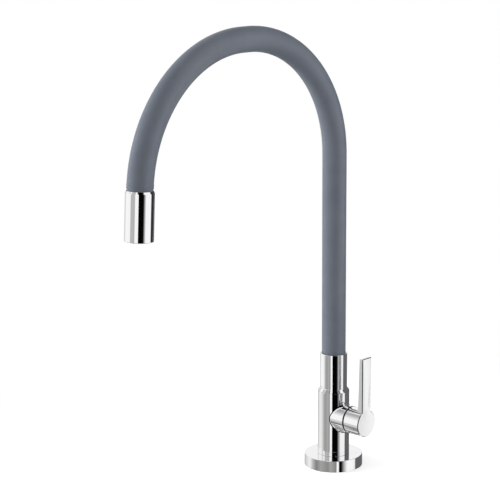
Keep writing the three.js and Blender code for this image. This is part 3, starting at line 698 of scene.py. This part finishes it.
def keyhole(hub_inset, lever_inset):
    """The handle's outline from the front: an arc round the hub from the lever's right side over the
    bottom to its left side, then up the left side, over the top and down the right side. Each corner at
    the top is a quarter circle. Returns [sample, (across, up)]."""
    radius = hub_radius - hub_inset
    half = LEVER_HALF_WIDTH - lever_inset
    top = lever_rise - lever_inset
    corner = LEVER_CORNER
    join = math.asin(half / radius)
    arc_angle = np.linspace(join, TURN - join, ARC_SAMPLES)
    arc = radius * as_points(np.sin(arc_angle), np.cos(arc_angle))
    root = radius * math.cos(join)
    rise = np.linspace(root, top - corner, SIDE_SAMPLES + 1)[1:]
    left = as_points(-half, rise)
    quarter = np.linspace(0, math.pi / 2, CORNER_SAMPLES + 1)[1:]
    left_corner = as_points(-half + corner * (1 - np.cos(quarter)), top - corner + corner * np.sin(quarter))
    across = np.linspace(-half + corner, half - corner, TOP_SAMPLES + 2)[1:-1]
    top_edge = as_points(across, top)
    right = np.concatenate([left, left_corner])[::-1] * [-1, 1]
    return np.concatenate([arc, left, left_corner, top_edge, right])


def handle():
    """The lever and its hub as one closed run of rings with equal samples: from the middle of the front
    face out to the keyhole outline, over the chamfer, back along the sides to the sloping back of the
    lever, in to the hub, along the hub to its rim, and in again down the cavity and the splined bore."""
    samples = len(keyhole(0, 0))
    on_lever = np.arange(samples) >= ARC_SAMPLES
    lever_samples = samples - ARC_SAMPLES
    join = math.asin(LEVER_HALF_WIDTH / hub_radius)
    arc_angle = np.linspace(join, TURN - join, ARC_SAMPLES)
    over_angle = np.linspace(-join, join, lever_samples + 2)[1:-1]
    round_angle = np.concatenate([arc_angle, over_angle])
    slope = (LEVER_ROOT - LEVER_TIP) / lever_rise

    def back(up):
        """The place along X of the lever's back face at a height over the axis."""
        return hub_front - LEVER_ROOT + slope * up

    def ring(outline, along):
        """A ring of points from an outline (across, up) and its places along X."""
        return as_points(along, outline[:, 0], axis_height + outline[:, 1])

    def circle(radius):
        """A circle round the axis with the outline's samples."""
        return as_points(radius * np.sin(round_angle), radius * np.cos(round_angle))

    rings = [ring(np.zeros((samples, 2)), hub_front)]
    edge = [(FRONT_CHAMFER, 0, CHAMFER_FILLET), (0, FRONT_CHAMFER, CHAMFER_FILLET)]
    chamfer = rounded([(HUB_WALL, 0), *edge, (0, HUB_WALL)], FILLET_STEPS // 2)
    for inset, depth in chamfer[1:-1]:
        rings.append(ring(keyhole(inset, inset), hub_front - depth))
    bend = np.linspace(0, math.pi / 2, FILLET_STEPS + 1)
    root = hub_radius * math.cos(join)
    for inset, depth in zip(EDGE_FILLET * (1 - np.cos(bend)), EDGE_FILLET * (1 - np.sin(bend))):
        outline = keyhole(0, inset)
        outline[~on_lever] = keyhole(0, 0)[~on_lever]
        up = np.where(on_lever, outline[:, 1], root)
        rings.append(ring(outline, back(up) + depth))
    hub_circle = circle(hub_radius)
    rings.append(ring(hub_circle, back(np.where(on_lever, hub_circle[:, 1], root))))
    cavity = hub_radius - HUB_WALL
    teeth = SPLINE_RADIUS - SPLINE_DEPTH * (1 - np.cos(SPLINE_TEETH * round_angle)) / 2
    rim = [
        (hub_radius - SEAM_FILLET * (1 - math.cos(turn)), hub_start + SEAM_FILLET * (1 - math.sin(turn)))
        for turn in bend
    ]
    inward = [(cavity, hub_start), (cavity, CAVITY_FLOOR)]
    splined = [(teeth, CAVITY_FLOOR), (teeth, SPLINE_END), (0, SPLINE_END)]
    rings.extend(ring(circle(radius), along) for radius, along in rim + inward + splined)
    return solid("lever", [np.array(rings)], distance=LEVER_MERGE)


# Hose line, as the part's own: up the column, over the rear bend, along the crown and down the front bend
STRAIGHT_RUN = 211.3 * MM
REAR_BEND = 125.5 * MM
CROWN = 8 * MM
FRONT_BEND = 135 * MM
FRONT_BEND_DEGREES = 86.8
FITTING_PLATE = 3 * MM
HEAD_SOCKET_DEPTH = 15 * MM
COVER_WALL = 0.8 * MM
TUBE_RADIUS = 5.6 * MM
TUBE_WALL = 1.3 * MM
RING_STEP = 2.5 * MM
BEND_SHARES = (0.176, 0.34, 0.513, 0.688, 0.845)  # where the core bends, along the hose
FINE_RUN = 6.5 * MM  # above the head, where the rings stand closer
FINE_STEP = 0.15 * MM
STATION_DIGITS = 6  # of metres, so that stations on one place merge

hose_start = sleeve_top - HOSE_SOCKET_DEPTH + FITTING_PLATE + FIT
column_run = sleeve_top + STRAIGHT_RUN - hose_start
rear_end = column_run + REAR_BEND * math.pi / 2
crown_end = rear_end + CROWN
front_end = crown_end + FRONT_BEND * math.radians(FRONT_BEND_DEGREES)
head_grip = HEAD_SOCKET_DEPTH - FITTING_PLATE - FIT
hose_length = front_end + head_grip


def line_at(distance):
    """The hose line at distances along it: y, z and the angle turned from straight up. Each stretch adds
    its own part: the column its run, a bend radius times (1 - cos) and sin of its angle, and the crown and
    the tail run straight."""
    distance = np.asarray(distance, float)
    rear_angle = np.clip((distance - column_run) / REAR_BEND, 0, math.pi / 2)
    front_angle = np.clip((distance - crown_end) / FRONT_BEND, 0, math.radians(FRONT_BEND_DEGREES))
    angle = rear_angle + front_angle
    tail = np.maximum(distance - front_end, 0)
    y = (
        -REAR_BEND * (1 - np.cos(rear_angle))
        - np.clip(distance - rear_end, 0, CROWN)
        - FRONT_BEND * np.sin(front_angle)
        - tail * np.sin(angle)
    )
    z = (
        hose_start
        + np.minimum(distance, column_run)
        + REAR_BEND * np.sin(rear_angle)
        - FRONT_BEND * (1 - np.cos(front_angle))
        + tail * np.cos(angle)
    )
    return y, z, angle


def along_hose(name, radius_out, radius_in, start, end):
    """A tube round the hose line between two distances. P(s, a) = line(s) + r(s) (cos a across + sin a
    outward), where outward is the line's direction turned by a quarter. The radii are functions of s. The
    rings stand closer just above the head, where the cover has its ridges."""
    steps = max(int(round((end - start) / RING_STEP)), 1)
    stations = np.linspace(start, end, steps + 1)
    fine = np.arange(front_end - FINE_RUN, min(front_end, end), FINE_STEP)
    if start < front_end - FINE_RUN < end:
        stations = np.unique(np.concatenate([stations, fine]).round(STATION_DIGITS))
    distance = np.concatenate([stations, stations[::-1]])
    radius = np.concatenate([radius_out(stations), radius_in(stations[::-1])])[:, None]
    y, z, angle = (values[:, None] for values in line_at(distance))
    around = np.arange(HOSE_SIDES) / HOSE_SIDES * TURN
    across, outward = radius * np.cos(around), radius * np.sin(around)
    points = as_points(across, y + outward * np.cos(angle), z + outward * np.sin(angle))
    return solid(name, [points], close_rings=True)


# The cover's last stretch: two thin ridges above the head and a slight taper into it
RIDGE_PLACES = (5 * MM, 2.6 * MM)  # above the head
RIDGE_HEIGHT = 0.35 * MM
RIDGE_HALF_WIDTH = 0.45 * MM
TAPER_RUN = 3.5 * MM
TAPER_DEPTH = 0.35 * MM


def cover_radius(distance):
    """The cover's outer radius: even, with a ridge as a smooth bump, exp(-x^2), at each ridge place and a
    taper where it enters the head."""
    radius = np.full_like(distance, HOSE_RADIUS)
    for ridge in RIDGE_PLACES:
        off = (distance - (front_end - ridge)) / RIDGE_HALF_WIDTH
        radius += RIDGE_HEIGHT * np.exp(-off * off)
    into = np.clip((distance - (front_end - TAPER_RUN)) / TAPER_RUN, 0, 1)
    return radius - TAPER_DEPTH * into * into * (3 - 2 * into)


def constant(value):
    """A radius that is the same all along."""
    return lambda distance: np.full_like(distance, value)


def bent_run(node, label, outer, inner):
    """A hose layer as one piece for each bend of the core. Two pieces meet half way between bends, where
    both follow the same stretch."""
    places = [share * hose_length for share in BEND_SHARES]
    borders = [0, *[(a + b) / 2 for a, b in zip(places, places[1:])], hose_length]
    for i, place in enumerate(places):
        piece = along_hose(f"{label}_{i + 1}", outer, inner, borders[i], borders[i + 1])
        shade(piece, keep_flats=False)
        piece.data.materials.append(MATERIALS[SLOT_OF[node]])
        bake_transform(piece)
        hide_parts(node)


# Head, in its own frame with the middle of its lower end at zero and the hose above
HEAD_RADIUS = 13.8 * MM
HEAD_LENGTH = 46.8 * MM
HEAD_BEVEL_WIDTH = 1 * MM
HEAD_BEVEL_HEIGHT = 2.2 * MM
HEAD_SHOULDER_FILLET = 2 * MM
HEAD_FLOOR = 4 * MM
MIXING_RADIUS = 9 * MM
AERATOR_RADIUS = 11.7 * MM
AERATOR_DEPTH = 14 * MM
AERATOR_RECESS = 0.8 * MM
AERATOR_WALL = 1.6 * MM
AERATOR_LIP = 1.2 * MM
AERATOR_LIP_HEIGHT = 1.4 * MM
AERATOR_GASKET = 1.8 * MM
INSERT_WALL = 1.2 * MM
INSERT_FLOOR = 2 * MM
HOLE_RADIUS = 0.78 * MM
HOLE_PITCH = 1.9 * MM
HOLE_RINGS = 4
HEXAGON = 6

end_y, end_z, end_angle = (float(value) for value in line_at(hose_length))
below_hose = HEAD_LENGTH - head_grip
HEAD_PLACE = Matrix.Translation(
    (0, end_y - below_hose * math.sin(end_angle), end_z + below_hose * math.cos(end_angle))
) @ Matrix.Rotation(end_angle - math.pi, 4, "X")


def head():
    """The outlet head: a polished tube with a bevelled top, the hose socket and the aerator's bore."""
    socket = HOSE_RADIUS + FIT / 2
    socket_floor = HEAD_LENGTH - HEAD_SOCKET_DEPTH
    bore = AERATOR_RADIUS + FIT
    corners = [
        (WATERWAY_RADIUS, socket_floor - HEAD_FLOOR, SEAM_FILLET),
        (MIXING_RADIUS, socket_floor - HEAD_FLOOR, EDGE_FILLET),
        (MIXING_RADIUS, AERATOR_DEPTH, SEAM_FILLET),
        (bore, AERATOR_DEPTH, SEAM_FILLET),
        (bore, 0, SEAM_FILLET),
        (HEAD_RADIUS, 0, EDGE_FILLET),
        (HEAD_RADIUS, HEAD_LENGTH - HEAD_BEVEL_HEIGHT, HEAD_SHOULDER_FILLET),
        (HEAD_RADIUS - HEAD_BEVEL_WIDTH, HEAD_LENGTH, SEAM_FILLET),
        (socket, HEAD_LENGTH, SEAM_FILLET),
        (socket, socket_floor, SEAM_FILLET),
        (WATERWAY_RADIUS, socket_floor, SEAM_FILLET),
    ]
    return turned("head", corners, HEAD_PLACE)


def aerator_housing():
    """The aerator's turned ring with its inward lip."""
    inner = AERATOR_RADIUS - AERATOR_WALL
    top = AERATOR_DEPTH - AERATOR_GASKET - FIT
    lip_top = AERATOR_RECESS + AERATOR_LIP_HEIGHT
    corners = [
        (inner - AERATOR_LIP, AERATOR_RECESS, EDGE_FILLET),
        (AERATOR_RADIUS, AERATOR_RECESS, EDGE_FILLET),
        (AERATOR_RADIUS, top, SEAM_FILLET),
        (inner, top, SEAM_FILLET),
        (inner, lip_top),
        (inner - AERATOR_LIP, lip_top, SEAM_FILLET),
    ]
    return turned("aerator", corners, HEAD_PLACE)


def honeycomb():
    """The insert: a cup whose floor is a grid of six-sided holes, ring after ring round the middle one."""
    bottom = AERATOR_RECESS + AERATOR_LIP_HEIGHT + FIT
    outer = AERATOR_RADIUS - AERATOR_WALL - FIT
    top = AERATOR_DEPTH - AERATOR_GASKET - FIT
    cup = turned(
        "honeycomb",
        [
            (0, bottom),
            (outer, bottom, SEAM_FILLET),
            (outer, top, SEAM_FILLET),
            (outer - INSERT_WALL, top, SEAM_FILLET),
            (outer - INSERT_WALL, bottom + INSERT_FLOOR),
            (0, bottom + INSERT_FLOOR),
        ],
        HEAD_PLACE,
        BORE_SIDES,
    )
    steps = np.arange(-HOLE_RINGS, HOLE_RINGS + 1)
    row, column = (grid.ravel() for grid in np.meshgrid(steps, steps, indexing="ij"))
    inside = np.abs(row + column) <= HOLE_RINGS
    row, column = row[inside], column[inside]
    middle = as_points(column + row / 2, row * math.cos(math.pi / HEXAGON)) * HOLE_PITCH
    corner = np.arange(HEXAGON) / HEXAGON * TURN + math.pi / HEXAGON
    around = HOLE_RADIUS * as_points(np.cos(corner), np.sin(corner))
    flat = middle[:, None, :] + around[None]
    heights = (bottom - OVERRUN, bottom + INSERT_FLOOR + OVERRUN)
    ends = [as_points(flat[..., 0], flat[..., 1], height) for height in heights]
    points = np.concatenate(ends, axis=1).reshape(-1, 3)
    place = np.array(HEAD_PLACE)
    points = points @ place[:3, :3].T + place[:3, 3]
    following = [*range(1, HEXAGON), 0]
    walls = [[i, after, after + HEXAGON, i + HEXAGON] for i, after in enumerate(following)]
    prism = [*walls, [*range(HEXAGON)][::-1], [*range(HEXAGON, 2 * HEXAGON)]]
    faces = [[2 * HEXAGON * hole + i for i in face] for hole in range(len(middle)) for face in prism]
    mesh = bpy.data.meshes.new("holes")
    mesh.from_pydata(points.tolist(), [], faces)
    return cut(cup, [placed("holes", mesh)])


def screw_bore(piece):
    """Cuts the grub screw's bore up through the hub's underside."""
    mouth = axis_height - hub_radius - OVERRUN
    bore = rod("bore", SCREW_BORE, (SCREW_PLACE, 0, axis_height), (SCREW_PLACE, 0, mouth))
    return cut(piece, [bore])


PIECES = [
    ("base_flange", foot()),
    ("valve_body", valve_body()),
    ("spout_sleeve", sleeve()),
    ("seam_ring", seam()),
    ("handle", screw_bore(handle())),
    ("outlet_head", head()),
    ("aerator_housing", aerator_housing()),
    ("aerator_insert", honeycomb()),
]
for node, piece in PIECES:
    shade(piece)
    dress(piece, node)
bent_run("hose_cover", "cover", cover_radius, constant(HOSE_RADIUS - COVER_WALL))
bent_run("water_tube", "tube", constant(TUBE_RADIUS), constant(TUBE_RADIUS - TUBE_WALL))

replaced = {node for node, _ in PIECES} | {"hose_cover", "water_tube"}
for node, slot in SLOT_OF.items():
    if node not in replaced:
        materials = frame["nodes"][node].data.materials
        if len(materials) == 0:
            materials.append(MATERIALS[slot])
        for index in range(len(materials)):
            materials[index] = MATERIALS[slot]


# Studio: a white floor and room, lit evenly. The boards and cards round the tap show in reflections alone,
# and some of them are painted shade and a painted reflection.
# Lengths are in metres.
WHITE = "#FFFFFF"
BLACK = "#040404"
FLOOR_HALF = 3.0
FLOOR_DROP = 0.05 * MM  # keeps it clear of the foot
FLOOR_GLOW = 0.3  # seen by the camera alone
SHADOW_START = 0.12  # how far from the middle the shadow starts to fade
SHADOW_END = 0.45
WALL_LIGHT = 0.62  # on matt surfaces
PANEL_LIGHT = 1.0  # of the boards and cards
LAMP_TARGET = (0, -0.12, 0.25)
# Azimuth to the right of the camera and elevation in degrees, distance and size in metres, power in watts
LAMPS = {
    "key_lamp": (-98, 15, 1.6, 0.7, 29),
    "fill_lamp": (85, 15, 1.6, 0.7, 8),
    "top_lamp": (60, 60, 1.8, 1.2, 6),
}
# Rows of boards by azimuth, in degrees from +X toward +Y, each at a height of its own. A colour runs evenly
# into the next.
UPRIGHT_BOARDS = (
    (-180, "#E0E0DF"), (-166, "#F2F2F0"), (-145, "#EAEAE8"), (-130, "#C8C8C6"),
    (-118, "#A0A09E"), (-100, "#A4A4A1"), (-88, "#B2B2AF"), (-80, "#929290"),
    (-76.5, "#929290"), (-73.5, WHITE), (44, "#F8F8F7"), (48.8, "#D4D4D2"), (50.6, WHITE),
    (122, WHITE), (130, "#C8C8C8"), (150, "#C0C0BF"), (180, "#E0E0DF"),
)
UPPER_BOARDS = (
    (-180, "#D8D8D8"), (-168, WHITE), (-118, WHITE), (-111, "#B4B4B2"), (-100, "#C0C0BE"),
    (-80, "#B6B6B4"), (-76, WHITE), (54, WHITE), (57, "#343434"), (124, "#343434"),
    (127, "#EAEAEA"), (180, "#D8D8D8"),
)
TOP_BOARDS = (
    (-180, "#E0E0DF"), (-170, "#F2F2F0"), (-154, "#EAEAE8"), (-141, "#C8C8C6"),
    (-130, "#A0A09E"), (-112, "#A4A4A1"), (-99, "#B2B2AF"), (-88, "#929290"), (-85, "#929290"),
    (-82, WHITE), (-63, WHITE), (-61, BLACK), (-11, BLACK), (-2, "#8C8C8C"), (8, WHITE),
    (49, WHITE), (51, "#646466"), (110, "#808081"), (130, "#C8C8C8"), (180, "#E0E0DF"),
)
# On the left, above and below eye level, the room runs round the X axis: by the angle from -Y up. Below eye
# level it is painted light: the white run from -98 to -71 degrees is a painted reflection of the foot's top,
# and the dark run from -69 to -40 is painted shade, the floor in front of the foot in the tap's shadow.
ROUND_BOARDS_AND_PAINTED_LIGHT = (
    (-180, "#F4F4F4"), (-155, "#C0C0C0"), (-120, "#505050"), (-104, "#606060"), (-98, WHITE),
    (-71, WHITE), (-69, "#0A0A0A"), (-58, "#3C3C3A"), (-40, "#A0A09E"), (-24, "#EEEEED"),
    (-6, WHITE), (22, WHITE), (58, "#B4B4B2"), (74, "#ACACAA"), (78, WHITE), (86, WHITE),
    (91, "#5A5A5A"), (95, "#5A5A5A"), (99, WHITE), (118, WHITE), (122, "#909090"), (127, WHITE),
    (180, "#F4F4F4"),
)
ROUND_MIDDLE = -0.62  # of the direction's x, which a cylinder along X keeps
ROUND_LIMITS = (0.14, 0.09)  # how far from there the round boards fade
# Elevations over which the rows change: the upper boards show above HIGH, the top boards above TOP, and
# below UNDER the room is plain. On the left the round boards, with their painted shade and painted
# reflection, show above HIGH and below LOW.
LOW_DEGREES = (-21, -19.5)
HIGH_DEGREES = (-15.8, -14.5)
TOP_DEGREES = (41, 43)
UNDER_DEGREES = (-45, -30)
UNDER_COLOUR = "#505050"
# Cards that stand near the tap: their ends (x, y), the lower edge's height, the upper edge's at each end
# and the colours by the share of the way from the first end
STANDING_CARDS = {
    "black_card": (
        ((0.651, -1.083), (5.53, 0.387)),
        -2.5,
        (2.2, 3.3),
        ((0, BLACK), (0.25, BLACK), (0.29, "#454545"), (0.41, "#979797"), (0.64, "#D3D3D3"), (1, "#F8F8F7")),
    ),
    "grey_card": (
        ((0.073, 0.0487), (-1.07, 1.566)),
        -1.2,
        (0.2, 0.3),
        ((0, "#646466"), (1, "#808081")),
    ),
    "lever_card": (
        ((0.6896, 0.7568), (0.6837, 0.7811)),
        -0.2555,
        (-0.16, -0.16),
        ((0, "#F4F4F3"), (0.2, WHITE), (0.755, WHITE), (0.775, "#C2C2C1"), (1, "#C2C2C1")),
    ),
}
# A ring of cards on the counter, for the foot's wall to mirror: by the wall's azimuth in degrees. Their
# greys are painted shade: the counter round the foot, darkened as in the tap's shadow.
COUNTER_SHADE_CARDS = (
    (-104, WHITE), (-100, "#EAEAE9"), (-94, "#C0C0BE"), (-85, "#868684"), (-74, "#A7A7A5"),
    (-60, "#8F8F8D"), (-54, "#A8A8A6"), (-42.8, "#888886"), (-41.8, WHITE), (-38.2, WHITE),
    (-37.2, BLACK), (-33, BLACK), (-31, "#4F4F4F"), (-29, "#8C8C8C"), (-25, "#CECECE"),
    (-20, WHITE), (-6, WHITE),
)
CARD_REACH = 34.5 * MM
# A bent card beside the sleeve, for the sleeve's left: by azimuth round the column, in degrees
SIDE_CARD = (
    (-196, "#E4E4E3"), (-186, "#EAEAE9"), (-172, WHITE), (-150, WHITE), (-139, "#F6F6F5"),
    (-124, "#D4D4D3"),
)
SIDE_CARD_AWAY = 150 * MM
SIDE_CARD_RISE = (43 * MM, 86 * MM)


def shares(stops):
    """A row of colours by degrees, as one by shares of the way from its first angle to its last."""
    first, last = stops[0][0], stops[-1][0]
    return [((degrees - first) / (last - first), colour) for degrees, colour in stops]


def studio_world():
    """White to the camera, an even soft light for matt surfaces, and for mirror surfaces the boards by the
    direction's azimuth, atan2(y, x), its elevation, asin(z), and its angle round X, atan2(z, -y). Below eye
    level on the left they hold painted shade and a painted reflection of the foot's top."""
    world = bpy.data.worlds.new("studio")
    world.use_nodes = True
    world.node_tree.nodes.clear()
    direction = add(world, "ShaderNodeTexCoord").outputs["Generated"]
    split = add(world, "ShaderNodeSeparateXYZ", {0: direction}).outputs
    rise = add(world, "ShaderNodeMath", {0: split["Z"]}, operation="ARCSINE").outputs[0]
    toward = add(world, "ShaderNodeMath", {0: split["Y"], 1: -1.0}, operation="MULTIPLY").outputs[0]
    aside = add(world, "ShaderNodeMath", {0: split["X"], 1: ROUND_MIDDLE}, operation="SUBTRACT").outputs[0]
    distance = add(world, "ShaderNodeMath", {0: aside}, operation="ABSOLUTE").outputs[0]

    # Each is a smooth step from 0 to 1 between two limits of a value
    high, low, top, under, on_left = (
        add(
            world,
            "ShaderNodeMapRange",
            {"Value": value, "From Min": start, "From Max": end},
            interpolation_type="SMOOTHSTEP",
        ).outputs["Result"]
        for value, (start, end) in (
            (rise, np.radians(HIGH_DEGREES)),
            (rise, np.radians(LOW_DEGREES[::-1])),
            (rise, np.radians(TOP_DEGREES)),
            (rise, np.radians(UNDER_DEGREES[::-1])),
            (distance, ROUND_LIMITS),
        )
    )
    off_level = add(world, "ShaderNodeMath", {0: high, 1: low}, operation="MAXIMUM").outputs[0]
    turned_over = add(world, "ShaderNodeMath", {0: off_level, 1: on_left}, operation="MULTIPLY").outputs[0]

    def boards(opposite, adjacent, stops):
        """The colours of a row of boards by the angle atan2(opposite, adjacent)."""
        angle = add(world, "ShaderNodeMath", {0: opposite, 1: adjacent}, operation="ARCTAN2").outputs[0]
        share = add(world, "ShaderNodeMath", {0: angle, 1: 1 / TURN, 2: 0.5}, operation="MULTIPLY_ADD")
        return add(world, "ShaderNodeValToRGB", {"Fac": share.outputs[0]}, shares(stops)).outputs["Color"]

    room, upper, over = (
        boards(split["Y"], split["X"], stops) for stops in (UPRIGHT_BOARDS, UPPER_BOARDS, TOP_BOARDS)
    )
    # The round row holds painted shade and a painted reflection of the foot's top below eye level
    round_it = boards(split["Z"], toward, ROUND_BOARDS_AND_PAINTED_LIGHT)
    under_all = linear(UNDER_COLOUR)
    for factor, colour in ((high, upper), (top, over), (under, under_all), (turned_over, round_it)):
        blend = {"Factor": factor, 6: room, 7: colour}
        room = add(world, "ShaderNodeMix", blend, data_type="RGBA").outputs[2]

    walls, mirrored, white = (
        add(world, "ShaderNodeBackground", {"Color": colour, "Strength": strength}).outputs[0]
        for colour, strength in ((linear(WHITE), WALL_LIGHT), (room, PANEL_LIGHT), (linear(WHITE), 1.0))
    )
    rays = add(world, "ShaderNodeLightPath").outputs
    seen = walls
    for ray, light in (("Is Glossy Ray", mirrored), ("Is Camera Ray", white), ("Is Transmission Ray", white)):
        seen = add(world, "ShaderNodeMixShader", {0: rays[ray], 1: seen, 2: light}).outputs[0]
    add(world, "ShaderNodeOutputWorld", {"Surface": seen})
    bpy.context.scene.world = world


def card(name, points, faces, along, stops):
    """An even card, seen in mirrors alone, whose colours run by a share given for each of its points."""
    material = blank_material(name)
    place = add(material, "ShaderNodeUVMap").outputs["UV"]
    share = add(material, "ShaderNodeSeparateXYZ", {0: place}).outputs["X"]
    paint = add(material, "ShaderNodeValToRGB", {"Fac": share}, stops).outputs["Color"]
    shader = add(material, "ShaderNodeEmission", {"Color": paint, "Strength": PANEL_LIGHT})
    mesh = bpy.data.meshes.new(name)
    mesh.from_pydata(points, [], faces)
    corners = np.empty(len(mesh.loops), np.int32)
    mesh.loops.foreach_get("vertex_index", corners)
    mesh.uv_layers.new(name="along").data.foreach_set("uv", as_points(np.take(along, corners), 0.0).ravel())
    mesh.materials.append(finish_material(material, shader))
    made = placed(name, mesh)
    made.visible_camera = False
    made.visible_diffuse = False
    made.visible_shadow = False
    made.visible_transmission = False


def bent_card(name, stops, edges, steps):
    """A card whose colours run by degrees, in this many steps to the degree. The function edges gives its
    two edges [point, xyz] from the angles in radians."""
    first, last = stops[0][0], stops[-1][0]
    count = steps * (last - first) + 1
    degrees = np.linspace(first, last, count)
    points = np.concatenate(edges(np.radians(degrees)))
    faces = [(i, i + 1, count + i + 1, count + i) for i in range(count - 1)]
    along = np.tile((degrees - first) / (last - first), 2)
    card(name, points.tolist(), faces, along, shares(stops))


def on_counter(wall):
    """The edges of the cards on the counter. The foot's wall mirrors the camera's view from azimuth v at the
    wall's azimuth a toward 2a - v, so they run from its edge that way."""
    mirrored = 2 * wall - math.atan2(CAMERA_PLACE[1], CAMERA_PLACE[0])
    inner = as_points(np.cos(wall), np.sin(wall), 0) * (foot_radius + FIT)
    return inner, inner + as_points(np.cos(mirrored), np.sin(mirrored), 0) * CARD_REACH


def beside_sleeve(azimuth):
    """The edges of the card beside the sleeve: one arc round the column at each of its two heights."""
    arc = SIDE_CARD_AWAY * np.cos(azimuth), SIDE_CARD_AWAY * np.sin(azimuth)
    return [as_points(*arc, height) for height in SIDE_CARD_RISE]


def studio_cards():
    """The cards that stand near the tap, those on the counter, whose greys are painted shade, and the one
    beside the sleeve.
    """
    for name, ((start, end), low, (start_high, end_high), stops) in STANDING_CARDS.items():
        points = [(*start, low), (*end, low), (*end, end_high), (*start, start_high)]
        card(name, points, [(0, 1, 2, 3)], [0.0, 1.0, 1.0, 0.0], stops)
    # The counter cards' greys are painted shade round the foot
    bent_card("counter_shade_cards", COUNTER_SHADE_CARDS, on_counter, steps=2)
    bent_card("side_card", SIDE_CARD, beside_sleeve, steps=1)


def floor_material():
    """Matt white paper that keeps the tap's soft shadow near it and fades to plain white further out. From
    below it isn't there, so that the tap's underside can be looked at."""
    material = blank_material("studio_floor")
    colours = {"Color": ("fibre", "#EDEDED", "#EFEFEF")}
    paper = patterned(material, "ShaderNodeBsdfDiffuse", {"fibre": (4, 3, EVEN)}, colours).outputs[0]
    glow, plain = (
        add(material, "ShaderNodeEmission", {"Color": linear(WHITE), "Strength": strength}).outputs[0]
        for strength in (FLOOR_GLOW, 1.0)
    )
    lit = add(material, "ShaderNodeAddShader", {0: paper, 1: glow}).outputs[0]
    place = add(material, "ShaderNodeTexCoord").outputs["Object"]
    reach = add(material, "ShaderNodeVectorMath", {0: place}, operation="LENGTH").outputs["Value"]
    limits = {"Value": reach, "From Min": SHADOW_START, "From Max": SHADOW_END}
    far = add(material, "ShaderNodeMapRange", limits, interpolation_type="SMOOTHSTEP").outputs["Result"]
    faded = add(material, "ShaderNodeMixShader", {0: far, 1: lit, 2: plain}).outputs[0]
    to_camera = add(material, "ShaderNodeLightPath").outputs["Is Camera Ray"]
    sheet = add(material, "ShaderNodeMixShader", {0: to_camera, 1: paper, 2: faded}).outputs[0]
    clear = add(material, "ShaderNodeBsdfTransparent").outputs[0]
    behind = add(material, "ShaderNodeNewGeometry").outputs["Backfacing"]
    shader = add(material, "ShaderNodeMixShader", {0: behind, 1: sheet, 2: clear})
    return finish_material(material, shader)


def studio_floor():
    """A square sheet on which the tap stands, left out of mirror reflections."""
    mesh = bpy.data.meshes.new("studio_floor")
    half = FLOOR_HALF
    corners = [(-half, -half, 0), (half, -half, 0), (half, half, 0), (-half, half, 0)]
    mesh.from_pydata(corners, [], [(0, 1, 2, 3)])
    mesh.materials.append(floor_material())
    floor = placed("studio_floor", mesh)
    floor.location.z = -FLOOR_DROP
    floor.visible_glossy = False


def soft_lamp(name, azimuth, elevation, distance, size, power):
    """A square lamp aimed at the middle of the tap."""
    turn = math.radians(CAMERA_TURN_DEGREES - 90 + azimuth)
    rise = math.radians(elevation)
    away = Vector((math.cos(turn) * math.cos(rise), math.sin(turn) * math.cos(rise), math.sin(rise)))
    data = bpy.data.lights.new(name, "AREA")
    data.shape = "SQUARE"
    data.size = size
    data.energy = power
    lamp = placed(name, data)
    lamp.location = Vector(LAMP_TARGET) + away * distance
    lamp.rotation_euler = away.to_track_quat("Z", "Y").to_euler()
    lamp.visible_glossy = False


def camera():
    """The camera at the photograph's place, turned round Z, dipped and rolled."""
    data = bpy.data.cameras.new("camera")
    data.lens = CAMERA_LENS
    data.sensor_width = CAMERA_SENSOR
    data.clip_end = CAMERA_FAR
    made = placed("camera", data)
    turn = Matrix.Rotation(math.radians(CAMERA_TURN_DEGREES), 4, "Z")
    dip = Matrix.Rotation(math.pi / 2 - math.radians(CAMERA_DIP_DEGREES), 4, "X")
    roll = Matrix.Rotation(math.radians(CAMERA_ROLL_DEGREES), 4, "Z")
    made.matrix_world = Matrix.Translation(CAMERA_PLACE) @ turn @ dip @ roll
    bpy.context.scene.camera = made


camera()
studio_world()
studio_floor()
studio_cards()
for name, lamp in LAMPS.items():
    soft_lamp(name, *lamp)
bpy.context.scene.view_settings.view_transform = "Standard"

bpy.context.view_layer.update()
